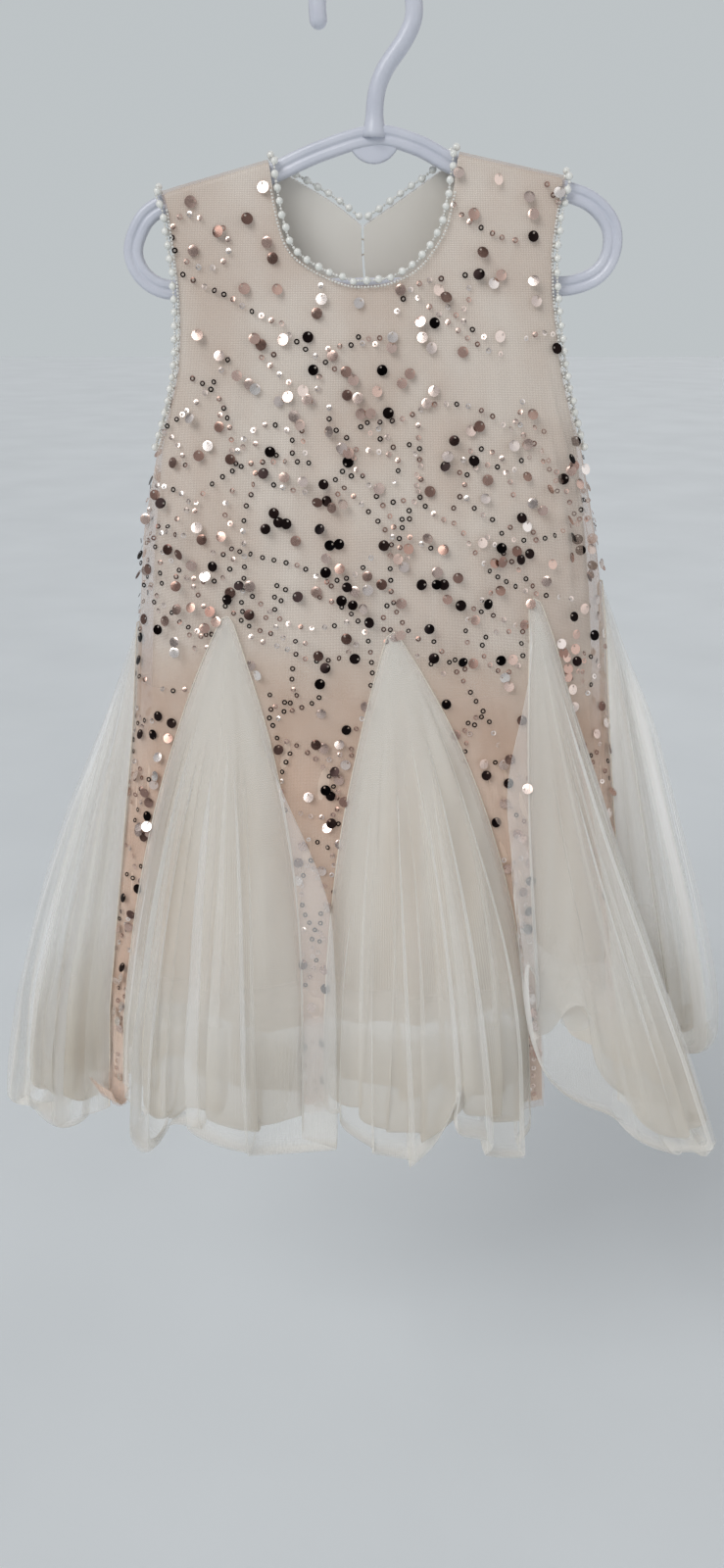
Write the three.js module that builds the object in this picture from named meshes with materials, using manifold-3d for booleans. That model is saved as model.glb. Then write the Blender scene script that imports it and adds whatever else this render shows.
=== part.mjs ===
// A small child's sleeveless gala dress, hung on its moulded plastic hanger.
// Millimetres, +Z up. The front of the dress faces -Y and +X is on the right of someone who looks at it.
// The origin is the inside top of the hanger's hook, where a rail or a handle carries it.
import * as THREE from "three";
import { mergeVertices } from "three/addons/utils/BufferGeometryUtils.js";
import Module from "manifold-3d";

const wasm = await Module();
wasm.setup();

const CLOTH = 1.5; // net and lining together, and each tulle puff, as one wall
const SEAM = 0.3; // clear space between two pieces that are sewn together
const LAP = 4; // how far a godet laps over the edge of the strip beside it
const LAP_LIFT = CLOTH + SEAM + 0.1; // between the middles of two walls that lie on each other

// Hanger
const ROD_RADIUS = 4.8;
const HOOK_RADIUS = 26; // to the middle of the rod
const BAR_DEPTH = 7;
const BAR_HEIGHT = 11;
const BAR_CORNER = 2.4;
const TAB_RADIUS = 15;
const TAB_DEPTH = 5;
const TAB_TOP = -85.3;
const SHAFT_FOOT = { x: 4.7, z: -84, radius: 6.4, top: 4.1, height: 13 };
const BAR_GAP = 0.5; // between the lower bar and the loops
const HOOK_TIP = { x: -25.6, z: -30 };
const TIP_BALL = { radius: 4.2, down: -0.8 };
const SHAFT_PATH = [
  { x: 25.6, z: -30 },
  { x: 20.6, z: -40 },
  { x: 10.2, z: -54 },
  { x: 5.6, z: -67 },
  { x: SHAFT_FOOT.x, z: SHAFT_FOOT.z - 3 },
];
const ARCH_PATH = [
  { x: -98, z: -166 },
  { x: -117, z: -165.5 },
  { x: -129, z: -158 },
  { x: -133.5, z: -145 },
  { x: -127, z: -130 },
  { x: -117, z: -122.3 },
  { x: -104, z: -118.4 },
  { x: -85, z: -113.4 },
  { x: -62, z: -107.6 },
  { x: -52, z: -104.7 },
  { x: -26, z: -94 },
  { x: 4.5, z: -86 },
  { x: 28, z: -90.4 },
  { x: 49, z: -100.4 },
  { x: 59, z: -103 },
  { x: 81, z: -107.5 },
  { x: 110, z: -113.4 },
  { x: 128, z: -119.5 },
  { x: 139.5, z: -131 },
  { x: 141.5, z: -145 },
  { x: 135, z: -157 },
  { x: 120, z: -163.5 },
  { x: 100, z: -164 },
];

// Outline of the dress, a row for each level: left and right edges, how far the front and the back
// stand from the middle plane, and how far the armhole's edges stand apart from it.
const SECTIONS = [
  { z: -90, left: -116, right: 112, front: 6.4, back: 6.4, edge: 6.2 },
  { z: -112, left: -115.3, right: 111, front: 9, back: 8, edge: 6.6 },
  { z: -125, left: -112, right: 108.6, front: 11, back: 9.5, edge: 7.6 },
  { z: -147, left: -109.5, right: 106.6, front: 13.5, back: 11.5, edge: 8.6 },
  { z: -168, left: -108, right: 108, front: 15.5, back: 13, edge: 9 },
  { z: -189, left: -108.5, right: 111.8, front: 18, back: 14.5, edge: 8.6 },
  { z: -211, left: -111, right: 116.2, front: 20.5, back: 16, edge: 7.2 },
  { z: -234, left: -117.6, right: 123, front: 23, back: 18, edge: 4.4 },
  { z: -255, left: -125, right: 130.4, front: 26, back: 20, edge: SEAM / 2 },
  { z: -305, left: -136, right: 142, front: 34, back: 25, edge: SEAM / 2 },
  { z: -366, left: -144, right: 152.5, front: 42, back: 30, edge: SEAM / 2 },
  { z: -430, left: -152, right: 161, front: 49, back: 34, edge: SEAM / 2 },
  { z: -490, left: -162.5, right: 170, front: 55, back: 38, edge: SEAM / 2 },
  { z: -556, left: -173.5, right: 181, front: 61, back: 42, edge: SEAM / 2 },
  { z: -634, left: -185.5, right: 193, front: 67, back: 46, edge: SEAM / 2 },
  { z: -720, left: -192, right: 201, front: 72, back: 50, edge: SEAM / 2 },
];
const ROUNDING = 0.9; // 1 is an ellipse, less is a flatter front
const ARMPIT_Z = -255;

// Top edges from the left armhole to the right one: `across` is the share of the width from the left.
const FRONT_TOP = [
  { across: 0, z: -114.3 },
  { across: 0.2675, z: -98.3 },
  { across: 0.2725, z: -100.2 },
  { across: 0.279, z: -114 },
  { across: 0.286, z: -130 },
  { across: 0.31, z: -145 },
  { across: 0.367, z: -155 },
  { across: 0.442, z: -162 },
  { across: 0.499, z: -163.4 },
  { across: 0.571, z: -161.3 },
  { across: 0.649, z: -152.5 },
  { across: 0.708, z: -134.7 },
  { across: 0.727, z: -115 },
  { across: 0.735, z: -96.4 },
  { across: 0.74, z: -94.3 },
  { across: 1, z: -106.3 },
];
const BACK_TOP = [
  { across: 0, z: -114.3 },
  { across: 0.2675, z: -98.3 },
  { across: 0.2725, z: -100.2 },
  { across: 0.33, z: -106.9 },
  { across: 0.42, z: -118.5 },
  { across: 0.5, z: -131.4 },
  { across: 0.6, z: -117.5 },
  { across: 0.69, z: -103.8 },
  { across: 0.735, z: -96.4 },
  { across: 0.74, z: -94.3 },
  { across: 1, z: -106.3 },
];
const NECK_POINTS = { left: 0.2675, right: 0.74 };
const SHOULDER_BEND = 1.8; // the cloth turns down over the hanger within this much of the seam

// Gores, from the left side seam round the front and then the back. Angles are in degrees round the
// section from the left side; `hem`, `width` and `hemZ` place the lower end of the strip that it becomes.
const BACK_START = 180.001; // the back's own side of the right side seam
const FRONT_GORES = [
  { start: 0, end: 52.7, hem: 21, width: 24, hemZ: -697 },
  { start: 52.7, end: 94.9, hem: 78.3, width: 22, hemZ: -690 },
  { start: 94.9, end: 133.4, hem: 125.5, width: 15, hemZ: -694 },
  { start: 133.4, end: 180, hem: 158.4, width: 22, hemZ: -688 },
];
const BACK_RIGHT_GORES = [
  { start: BACK_START, end: 226, hem: 202, width: 24, hemZ: -690 },
  { start: 226, end: 270, hem: 249, width: 20, hemZ: -696 },
];
const BACK_LEFT_GORES = [
  { start: 270, end: 313, hem: 291, width: 20, hemZ: -692 },
  { start: 313, end: 360, hem: 339, width: 24, hemZ: -697 },
];
const GORES = [...FRONT_GORES, ...BACK_RIGHT_GORES, ...BACK_LEFT_GORES];
const COLUMN_STEP = 16; // the widest space between two columns of a gore, in degrees
const LINING_STEP = 6; // the narrowest between two columns of the lining
const STRIP_EASE = 3; // how soon below the godets' points a strip has narrowed

// Godets, each between two gores. `bulge` is how far it puffs out at the hem, `sway` how far it leans
// towards +X, `left`, `middle` and `right` the level of its hem, `folds` its radiating folds.
const GODETS = [
  {
    name: "godet_side_left",
    gores: [7, 0],
    apex: -368,
    bulge: 52,
    sway: -4,
    hem: { left: -700, middle: -716, right: -730 },
    folds: 4,
    depth: 7,
  },
  {
    name: "godet_front_left",
    gores: [0, 1],
    apex: -355,
    bulge: 54,
    sway: 4,
    hem: { left: -712, middle: -704, right: -676 },
    folds: 5,
    depth: 8,
  },
  {
    name: "godet_front_centre",
    gores: [1, 2],
    apex: -363,
    bulge: 54,
    sway: 2,
    hem: { left: -678, middle: -698, right: -694 },
    folds: 5,
    depth: 9,
  },
  {
    name: "godet_front_right",
    gores: [2, 3],
    apex: -345,
    bulge: 64,
    sway: 58,
    hem: { left: -668, middle: -700, right: -708 },
    folds: 4,
    depth: 8,
  },
  {
    name: "godet_side_right",
    gores: [3, 4],
    apex: -341,
    bulge: 48,
    sway: 0,
    hem: { left: -678, middle: -690, right: -700 },
    folds: 4,
    depth: 7,
  },
  {
    name: "godet_back_right",
    gores: [4, 5],
    apex: -350,
    bulge: 34,
    sway: 8,
    hem: { left: -690, middle: -706, right: -698 },
    folds: 4,
    depth: 6,
  },
  {
    name: "godet_back_centre",
    gores: [5, 6],
    apex: -360,
    bulge: 32,
    sway: 0,
    hem: { left: -692, middle: -704, right: -700 },
    folds: 5,
    depth: 6,
  },
  {
    name: "godet_back_left",
    gores: [6, 7],
    apex: -352,
    bulge: 34,
    sway: -8,
    hem: { left: -698, middle: -710, right: -702 },
    folds: 4,
    depth: 6,
  },
];
const GODET_COLUMNS = 16;
const GODET_ROWS = [0, 0.07, 0.17, 0.3, 0.45, 0.6, 0.75, 0.88, 1];
const GODET_EASE = 1.6; // how soon a puff opens below its point
const TUCK_RADIUS = 13; // of the hem's roll
const TUCK_TURNS = [55, 115, 170]; // degrees round the roll
const TUCK_SHARE = 0.3; // the roll's radius, as a share of how far the puff stands out past TUCK_CLEAR
const TUCK_CLEAR = 6;
const TUCK_STEP = 1.3; // how far each row of the roll hangs below the last, where there is no roll
const SWAY_SKEW = 1.4; // more leaves a godet's left side hanging straighter
const PUFF_ROUNDING = 0.75; // less makes a puff's sides steeper

// Loose folds that the bodice hangs in: place round the section in degrees, levels, width and depth.
const BODY_FOLDS = [
  { angle: 150, top: -225, bottom: -345, width: 9, depth: 3 },
  { angle: 166, top: -235, bottom: -335, width: 7, depth: -2.5 },
  { angle: 27, top: -240, bottom: -350, width: 9, depth: 2.5 },
  { angle: 74, top: -270, bottom: -360, width: 8, depth: -2 },
  { angle: 108, top: -280, bottom: -370, width: 8, depth: 2 },
  { angle: 205, top: -230, bottom: -340, width: 9, depth: 3 },
  { angle: 250, top: -250, bottom: -360, width: 8, depth: -2 },
  { angle: 300, top: -250, bottom: -360, width: 9, depth: 2.5 },
  { angle: 335, top: -235, bottom: -345, width: 8, depth: -2.5 },
];

// Lining skirt, inside the gores
const LINING_LEVELS = [-338, -352, -385, -440, -505, -570, -632];
const LINING_INSET = { top: LAP_LIFT, hem: 17 };

// Back slit, its button and the pearl edging
const SLIT = { bottom: -236, gap: 2.4, taper: 60 };
const BUTTON = { radius: 4, thick: 3.6, x: -8, z: -143 };
const TRIM_RADIUS = 2;
const TRIM_SIDES = 6;
const CENTRE_BACK_SHARE = 0.2; // the back edgings stop this share of a step short of the centre back
const TRIM_OFF = TRIM_RADIUS + CLOTH / 3 + SEAM;
const NECK_CENTRE = new THREE.Vector3(0, 0, -112);
// An edging's way over a shoulder seam: in from the end of the seam, out from the middle plane, and up
const FRONT_CROSSING = [
  { in: 1.9, out: 0.6, up: 2.4 },
  { in: 2.9, out: 4.2, up: 1.7 },
  { in: 3.9, out: 7.4, up: -2.6 },
];
const BACK_CROSSING = [
  { in: 1.9, out: 0.6, up: 2.4 },
  { in: 2.5, out: 4.4, up: 2.2 },
  { in: 4.4, out: 7.6, up: -0.3 },
];
const ARMHOLE_CROSSING = [
  { in: 1.9, out: 0, up: 2.4 },
  { in: 2.6, out: 4.4, up: 1.7 },
  { in: 3, out: 7.4, up: -2.6 },
];

// Colours
const CREAM = 0xe9ddce;
const NUDE = 0xe6cfc0;
const TULLE = 0xefe8dc;
const PLASTIC = 0xeef0f8;
const PEARL = 0xe9e9e0;

const radians = (degrees) => (degrees * Math.PI) / 180;
const mix = (a, b, share) => a + (b - a) * share;
const clamp01 = (value) => Math.min(1, Math.max(0, value));
const acrossOf = (angle) => (1 - Math.cos(radians(angle))) / 2;
const frontAngle = (across) => (Math.acos(1 - 2 * across) * 180) / Math.PI;
const isBack = (angle) => angle > 180;
const isSide = (angle) => Math.abs(Math.sin(radians(angle))) < 0.001;

// A value from a table whose rows rise or fall steadily in `key`
function lookUp(table, key, at, field) {
  const rising = table[table.length - 1][key] > table[0][key];
  const side = (row) => (rising ? row[key] : -row[key]);
  const place = rising ? at : -at;
  const next = Math.max(1, table.findIndex((row) => side(row) >= place));
  const last = place > side(table[table.length - 1]) ? table.length - 1 : next;
  const [a, b] = [table[last - 1], table[last]];
  return mix(a[field], b[field], clamp01((place - side(a)) / (side(b) - side(a))));
}

const section = (z, field) => lookUp(SECTIONS, "z", z, field);

// How far the loose folds push the cloth in or out
function foldDepth(angle, z) {
  let depth = 0;
  for (const fold of BODY_FOLDS) {
    const along = (fold.top - z) / (fold.top - fold.bottom);
    if (along <= 0 || along >= 1) continue;
    const aside = (angle - fold.angle) / fold.width;
    depth += fold.depth * Math.sin(Math.PI * along) * Math.exp(-aside * aside);
  }
  return depth;
}

// A point of the dress's surface, `angle` degrees round from the left side and `lift` out of it
function bodyPoint(angle, z, lift = 0) {
  const turn = radians(angle);
  const back = isBack(angle);
  const half = (section(z, "right") - section(z, "left")) / 2;
  const middle = (section(z, "right") + section(z, "left")) / 2;
  const edge = section(z, "edge");
  const depth = section(z, back ? "back" : "front");
  const round = Math.abs(Math.sin(turn));
  const y = edge + (depth - edge) * Math.pow(round, ROUNDING);
  const out = new THREE.Vector2(-Math.cos(turn) / half, round / depth).normalize();
  const away = lift + foldDepth(angle, z);
  const flip = back ? 1 : -1;
  return new THREE.Vector3(middle - half * Math.cos(turn) + out.x * away, flip * (y + out.y * away), z);
}

// Millimetres along the section for each degree of angle
function millimetresPerDegree(angle, z) {
  const half = (section(z, "right") - section(z, "left")) / 2;
  const depth = section(z, isBack(angle) ? "back" : "front");
  return (Math.hypot(half * Math.sin(radians(angle)), depth * Math.cos(radians(angle))) * Math.PI) / 180;
}

// The level where the gores part at this angle: the godets' points
function apexLevel(angle) {
  const points = GODETS.map((godet, i) => ({ angle: GORES[i].start, z: godet.apex }));
  points.push({ angle: 360, z: GODETS[0].apex });
  return lookUp(points, "angle", angle, "z");
}

// The angle that a line down a gore has reached at a level, below the godets' points
function stripAngle(gore, angle, z) {
  const top = apexLevel(angle);
  const share = clamp01((top - z) / (top - gore.hemZ));
  const narrowed = 1 - Math.pow(1 - share, STRIP_EASE);
  const wide = gore.width / millimetresPerDegree(gore.hem, gore.hemZ);
  const low = gore.hem + ((angle - gore.start) / (gore.end - gore.start) - 0.5) * wide;
  return mix(angle, low, narrowed);
}

// The angles of a gore's columns: one at each corner of its top edge, and others between far ones
function columnsOf(gore) {
  const back = isBack(gore.start);
  const corners = (back ? BACK_TOP : FRONT_TOP).map(({ across }) =>
    back ? 360 - frontAngle(across) : frontAngle(across),
  );
  const inside = corners.filter((angle) => angle > gore.start + 0.1 && angle < gore.end - 0.1);
  const marks = [gore.start, ...inside.sort((a, b) => a - b), gore.end];
  return marks.flatMap((mark, i) => {
    if (i === 0) return [mark];
    const parts = Math.ceil((mark - marks[i - 1]) / COLUMN_STEP);
    return Array.from({ length: parts }, (_, k) => mix(marks[i - 1], mark, (k + 1) / parts));
  });
}

// A wall of cloth: a sheet of points moved half its thickness either way and closed round its edges.
// `flatten` names the axis that a seam's end faces are square to, for the points that lie on one.
function wall(points, quads, flatten = () => null) {
  const normals = points.map(() => new THREE.Vector3());
  const triangles = quads.flatMap(([a, b, c, d]) => [[a, b, c], [a, c, d]]);
  for (const [a, b, c] of triangles) {
    const ab = points[b].clone().sub(points[a]);
    const face = ab.cross(points[c].clone().sub(points[a]));
    for (const i of [a, b, c]) normals[i].add(face);
  }
  normals.forEach((normal, i) => {
    const axis = flatten(i);
    if (axis) normal[axis] = 0;
    normal.normalize();
  });
  const count = points.length;
  const place = [];
  for (const side of [CLOTH / 2, -CLOTH / 2])
    points.forEach((p, i) => place.push(...p.clone().addScaledVector(normals[i], side).toArray()));
  const index = [];
  const open = new Map();
  for (const [a, b, c] of triangles) {
    index.push(a, b, c, a + count, c + count, b + count);
    for (const [from, to] of [[a, b], [b, c], [c, a]]) {
      if (!open.delete(`${to} ${from}`)) open.set(`${from} ${to}`, [from, to]);
    }
  }
  for (const [from, to] of open.values())
    index.push(to, from, from + count, to, from + count, to + count);
  const geometry = new THREE.BufferGeometry();
  geometry.setAttribute("position", new THREE.Float32BufferAttribute(place, 3));
  geometry.setIndex(index);
  return geometry;
}

// A grid of points, with a row of quads between each two rows of it
function gridWall(rows, flatten) {
  const across = rows[0].length;
  const quads = [];
  for (let r = 0; r + 1 < rows.length; r++)
    for (let c = 0; c + 1 < across; c++) {
      const here = r * across + c;
      quads.push([here, here + across, here + across + 1, here + 1]);
    }
  return wall(rows.flat(), quads, flatten);
}

// Levels of a column of the bodice, from its top edge down to the godets' points
const TOP_STEPS = [0, SHOULDER_BEND, 10];
const BODICE_STEPS = [0.13, 0.28, 0.43, 0.58, 0.73, 0.87, 1];
const HIP_STEPS = [0.35, 0.7, 1];
const STRIP_STEPS = [0.06, 0.15, 0.27, 0.42, 0.6, 0.8, 1];

function bodiceColumn(angle) {
  const back = isBack(angle);
  const across = acrossOf(angle);
  const top = lookUp(back ? BACK_TOP : FRONT_TOP, "across", across, "z");
  const shoulder = across <= NECK_POINTS.left + 0.001 || across >= NECK_POINTS.right - 0.001;
  const start = top - TOP_STEPS[TOP_STEPS.length - 1];
  const levels = [
    ...TOP_STEPS.map((step) => top - step),
    ...BODICE_STEPS.map((share) => mix(start, ARMPIT_Z, share)),
    ...HIP_STEPS.map((share) => mix(ARMPIT_Z, apexLevel(angle), share)),
  ];
  return levels.map((z, row) => {
    const point = bodyPoint(angle, z);
    if (shoulder && row === 0) point.y = ((back ? 1 : -1) * SEAM) / 2;
    return point;
  });
}

// Half the gap at the centre back: open in the slit, closed at the seam below it
function slitHalf(z) {
  return SEAM / 2 + (SLIT.gap / 2) * clamp01((z - SLIT.bottom) / SLIT.taper);
}

// The axis that a seam's end faces are square to, at a point of a column
function seamAxis(angle, point, row) {
  const shoulder = row === 0 && Math.abs(point.y) <= SEAM;
  if (shoulder || (isSide(angle) && point.z <= ARMPIT_Z + 1)) return "y";
  return angle === 270 ? "x" : null;
}

// One panel of the dress: gores that share the bodice and hang apart below the godets' points.
// `side` is the side of the centre back that a back panel lies on.
function panelGeometry(gores, side = 0) {
  const points = [];
  const axes = [];
  const known = new Map();
  const add = (key, point, axis) => {
    if (!known.has(key)) {
      known.set(key, points.length);
      points.push(point);
      axes.push(axis);
    }
    return known.get(key);
  };
  const quads = [];
  for (const gore of gores) {
    const columns = columnsOf(gore).map((angle) => {
      const upper = bodiceColumn(angle).map((point, row) => {
        if (angle === 270) point.x += side * slitHalf(point.z);
        return add(`bodice ${angle} ${row}`, point, seamAxis(angle, point, row));
      });
      const lower = STRIP_STEPS.map((share, row) => {
        const z = mix(apexLevel(angle), gore.hemZ, share);
        return add(`strip ${gore.start} ${angle} ${row}`, bodyPoint(stripAngle(gore, angle, z), z), null);
      });
      return [...upper, ...lower];
    });
    for (let c = 0; c + 1 < columns.length; c++) {
      const [here, next] = [columns[c], columns[c + 1]];
      for (let r = 0; r + 1 < here.length; r++) quads.push([here[r], here[r + 1], next[r + 1], next[r]]);
    }
  }
  return wall(points, quads, (i) => axes[i]);
}

// A godet: a puff of tulle whose edges lap over the two strips and whose hem rolls under
function godetGeometry(godet) {
  const [before, after] = godet.gores.map((i) => GORES[i]);
  const edge = (gore, angle, z, side) => {
    const at = stripAngle(gore, angle, z);
    return at + (side * LAP) / millimetresPerDegree(at, z);
  };
  const turn = after.start < before.end - 1 ? 360 : 0;
  const hemAt = (t) => {
    const { left, middle, right } = godet.hem;
    return mix(left, right, t) + (middle - (left + right) / 2) * Math.sin(Math.PI * t);
  };
  const puff = (t, s) => {
    const opened = 1 - Math.pow(1 - s, GODET_EASE);
    const arch = Math.pow(Math.sin(Math.PI * t), PUFF_ROUNDING);
    const ripple = Math.cos(2 * Math.PI * godet.folds * t + godet.folds);
    return LAP_LIFT + arch * (godet.bulge * opened + godet.depth * s * ripple);
  };
  const place = (t, s, lift, z) => {
    const from = edge(before, before.end, z, -1);
    const to = edge(after, after.start, z, 1) + turn;
    const point = bodyPoint(mix(from, to, t) % 360, z, lift);
    point.x += godet.sway * Math.sin(Math.PI * Math.pow(t, SWAY_SKEW)) * s * s;
    return point;
  };
  const shares = Array.from({ length: GODET_COLUMNS + 1 }, (_, i) => i / GODET_COLUMNS);
  const apex = godet.apex + LAP;
  const rows = GODET_ROWS.map((s) =>
    shares.map((t) => place(t, s, puff(t, s), mix(apex, hemAt(t), s))),
  );
  TUCK_TURNS.forEach((degrees, i) => {
    const roll = radians(degrees);
    rows.push(
      shares.map((t) => {
        const lift = puff(t, 1);
        const radius = Math.min(TUCK_RADIUS, Math.max(0, TUCK_SHARE * (lift - TUCK_CLEAR)));
        const z = hemAt(t) - TUCK_STEP * (i + 1) - radius * Math.sin(roll);
        return place(t, 1, lift - radius * (1 - Math.cos(roll)), z);
      }),
    );
  });
  return gridWall(rows);
}

// Half of the lining skirt, between two side seams
function liningGeometry(gores) {
  const angles = [];
  for (const angle of gores.flatMap(columnsOf))
    if (isSide(angle) ? angles.length === 0 || angle - angles[0] > 90 : angle - angles.at(-1) > LINING_STEP)
      angles.push(angle);
  const top = LINING_LEVELS[0];
  const hem = LINING_LEVELS.at(-1);
  const rows = LINING_LEVELS.map((z) => {
    const inset = mix(LINING_INSET.top, LINING_INSET.hem, (top - z) / (top - hem));
    return angles.map((angle) => bodyPoint(angle, z, -inset));
  });
  return gridWall(rows, (i) => (isSide(angles[i % angles.length]) ? "y" : null));
}

// A section for a tube: points round a circle
function roundSection(radius, sides) {
  const corners = Array.from({ length: sides }, (_, i) => {
    const turn = ((i + 0.5) / sides) * 2 * Math.PI;
    return new THREE.Vector2(radius * Math.cos(turn), radius * Math.sin(turn));
  });
  return new THREE.Shape(corners);
}

// A section for the hanger's bars: a rectangle with cut corners
function barSection() {
  const [x, y] = [BAR_DEPTH / 2, BAR_HEIGHT / 2];
  const [a, b] = [x - BAR_CORNER, y - BAR_CORNER];
  const corners = [[x, -b], [x, b], [a, y], [-a, y], [-x, b], [-x, -b], [-a, -y], [a, -y]];
  return new THREE.Shape(corners.map(([u, v]) => new THREE.Vector2(u, v)));
}

function tube(curve, sectionShape, steps) {
  return new THREE.ExtrudeGeometry(sectionShape, { steps, bevelEnabled: false, extrudePath: curve });
}

const smooth = (points) => new THREE.CatmullRomCurve3(points, false, "centripetal");
const inPlane = ({ x, z }) => new THREE.Vector3(x, 0, z);

// Turns a closed geometry into a solid, and back
function toSolid(geometry) {
  const bare = geometry.clone();
  bare.deleteAttribute("normal");
  bare.deleteAttribute("uv");
  const merged = mergeVertices(bare);
  return new wasm.Manifold(
    new wasm.Mesh({
      numProp: 3,
      vertProperties: new Float32Array(merged.attributes.position.array),
      triVerts: new Uint32Array(merged.index.array),
    }),
  );
}

function fromSolid(solid) {
  const mesh = solid.getMesh();
  const geometry = new THREE.BufferGeometry();
  geometry.setAttribute("position", new THREE.Float32BufferAttribute(mesh.vertProperties, 3));
  geometry.setIndex([...mesh.triVerts]);
  return geometry;
}

// Hook, shaft, arch, end loops and the tab under the arch, moulded in one
function hangerFrame() {
  const centre = ROD_RADIUS - HOOK_RADIUS;
  const bend = Array.from({ length: 9 }, (_, i) => {
    const turn = Math.PI * (1 - i / 8);
    return { x: HOOK_RADIUS * Math.cos(turn), z: centre + HOOK_RADIUS * Math.sin(turn) };
  });
  const hookCurve = smooth([HOOK_TIP, ...bend, ...SHAFT_PATH].map(inPlane));
  const tip = new THREE.SphereGeometry(TIP_BALL.radius, 9, 7)
    .rotateX(Math.PI / 2)
    .translate(HOOK_TIP.x, 0, HOOK_TIP.z + TIP_BALL.down);
  const foot = new THREE.CylinderGeometry(SHAFT_FOOT.top, SHAFT_FOOT.radius, SHAFT_FOOT.height, 12)
    .rotateX(Math.PI / 2)
    .translate(SHAFT_FOOT.x, 0, SHAFT_FOOT.z + SHAFT_FOOT.height / 2);
  const halfDisc = new THREE.Shape();
  halfDisc.absarc(0, 0, TAB_RADIUS, Math.PI, 2 * Math.PI);
  const tab = new THREE.ExtrudeGeometry(halfDisc, { depth: TAB_DEPTH, bevelEnabled: false, curveSegments: 7 })
    .rotateX(Math.PI / 2)
    .translate(SHAFT_FOOT.x, TAB_DEPTH / 2, TAB_TOP);
  const parts = [
    tube(hookCurve, roundSection(ROD_RADIUS, 10), 26),
    tip,
    foot,
    tab,
    tube(smooth(ARCH_PATH.map(inPlane)), barSection(), 38),
  ];
  return fromSolid(parts.map(toSolid).reduce((whole, part) => whole.add(part)));
}

function hangerBar() {
  const [from, to] = [ARCH_PATH[0], ARCH_PATH.at(-1)].map(inPlane);
  const along = to.clone().sub(from).normalize().multiplyScalar(BAR_GAP);
  return tube(new THREE.LineCurve3(from.add(along), to.sub(along)), barSection(), 1);
}

// The pearl edging beside a run of edge points, on the side of `towards`
function besideEdge(points, towards) {
  return points.map((point, i) => {
    const ahead = points[Math.min(i + 1, points.length - 1)];
    const behind = points[Math.max(i - 1, 0)];
    const aside = new THREE.Vector3(-(ahead.z - behind.z), 0, ahead.x - behind.x).normalize();
    if (aside.dot(towards.clone().sub(point)) < 0) aside.negate();
    return point.clone().addScaledVector(aside, TRIM_OFF);
  });
}

// Where an edging goes over the shoulder seam and the hanger, from the middle plane out to one face
function overShoulder(crossing, point, inward, face) {
  return crossing.map(
    ({ in: x, out: y, up: z }) => new THREE.Vector3(point.x + inward * x, face * y, point.z + z),
  );
}

function neckTrim(table, back, from, to) {
  const rows = table.filter(({ across }) => across > from && across < to);
  const points = rows.map(({ across, z }) => {
    const angle = frontAngle(across);
    return bodyPoint(back ? 360 - angle : angle, z);
  });
  return besideEdge(points, NECK_CENTRE);
}

const shoulderPoint = (across) => bodyPoint(frontAngle(across), lookUp(FRONT_TOP, "across", across, "z"));

function neckTrims() {
  const { left, right } = NECK_POINTS;
  const skip = 0.006; // past the corner beside the shoulder seam
  const [leftPoint, rightPoint] = [shoulderPoint(left), shoulderPoint(right)];
  const front = neckTrim(FRONT_TOP, false, left + skip, right - skip);
  const backLeft = neckTrim(BACK_TOP, true, left + skip, 0.51);
  const backRight = neckTrim(BACK_TOP, true, 0.49, right - skip);
  backLeft.at(-1).lerp(backLeft.at(-2), CENTRE_BACK_SHARE);
  backRight[0].lerp(backRight[1], CENTRE_BACK_SHARE);
  return {
    front: [
      ...overShoulder(FRONT_CROSSING, leftPoint, 1, -1),
      ...front,
      ...overShoulder(FRONT_CROSSING, rightPoint, -1, -1).reverse(),
    ],
    backLeft: [...overShoulder(BACK_CROSSING, leftPoint, 1, 1), ...backLeft],
    backRight: [...backRight, ...overShoulder(BACK_CROSSING, rightPoint, -1, 1).reverse()],
  };
}

// The edging of one armhole, from the armpit up the front, over the shoulder and down the back
function armholeTrim(side) {
  const column = bodiceColumn(side < 0 ? 0 : 180);
  const run = column.slice(TOP_STEPS.length - 1, TOP_STEPS.length + BODICE_STEPS.length).reverse();
  for (const point of run) {
    point.x += side * TRIM_OFF;
    point.y = Math.min(point.y, -TRIM_RADIUS - SEAM);
  }
  const over = overShoulder(ARMHOLE_CROSSING, shoulderPoint(side < 0 ? 0 : 1), side, -1).reverse();
  const half = [...run, ...over];
  const mirrored = half.slice(0, -1).map((point) => new THREE.Vector3(point.x, -point.y, point.z));
  return [...half, ...mirrored.reverse()];
}

// A curve that runs straight from point to point
function straightThrough(points) {
  const path = new THREE.CurvePath();
  for (let i = 0; i + 1 < points.length; i++) path.add(new THREE.LineCurve3(points[i], points[i + 1]));
  return path;
}

const trimGeometry = (points) =>
  tube(straightThrough(points), roundSection(TRIM_RADIUS, TRIM_SIDES), 2 * points.length);

function buttonGeometry() {
  const { x, z, radius, thick } = BUTTON;
  const surface = bodyPoint(270 - x / millimetresPerDegree(270, z), z);
  return new THREE.SphereGeometry(radius, 12, 8)
    .scale(1, thick / 2 / radius, 1)
    .translate(x, surface.y + CLOTH / 2 + SEAM + thick / 2, z);
}

function piece(name, geometry, color, roughness) {
  const material = new THREE.MeshStandardMaterial({ color, roughness, metalness: 0 });
  const mesh = new THREE.Mesh(geometry, material);
  mesh.name = name;
  return mesh;
}

const hanger = new THREE.Group();
hanger.add(
  piece("hanger_frame", hangerFrame(), PLASTIC, 0.38),
  piece("hanger_bar", hangerBar(), PLASTIC, 0.38),
);

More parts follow.
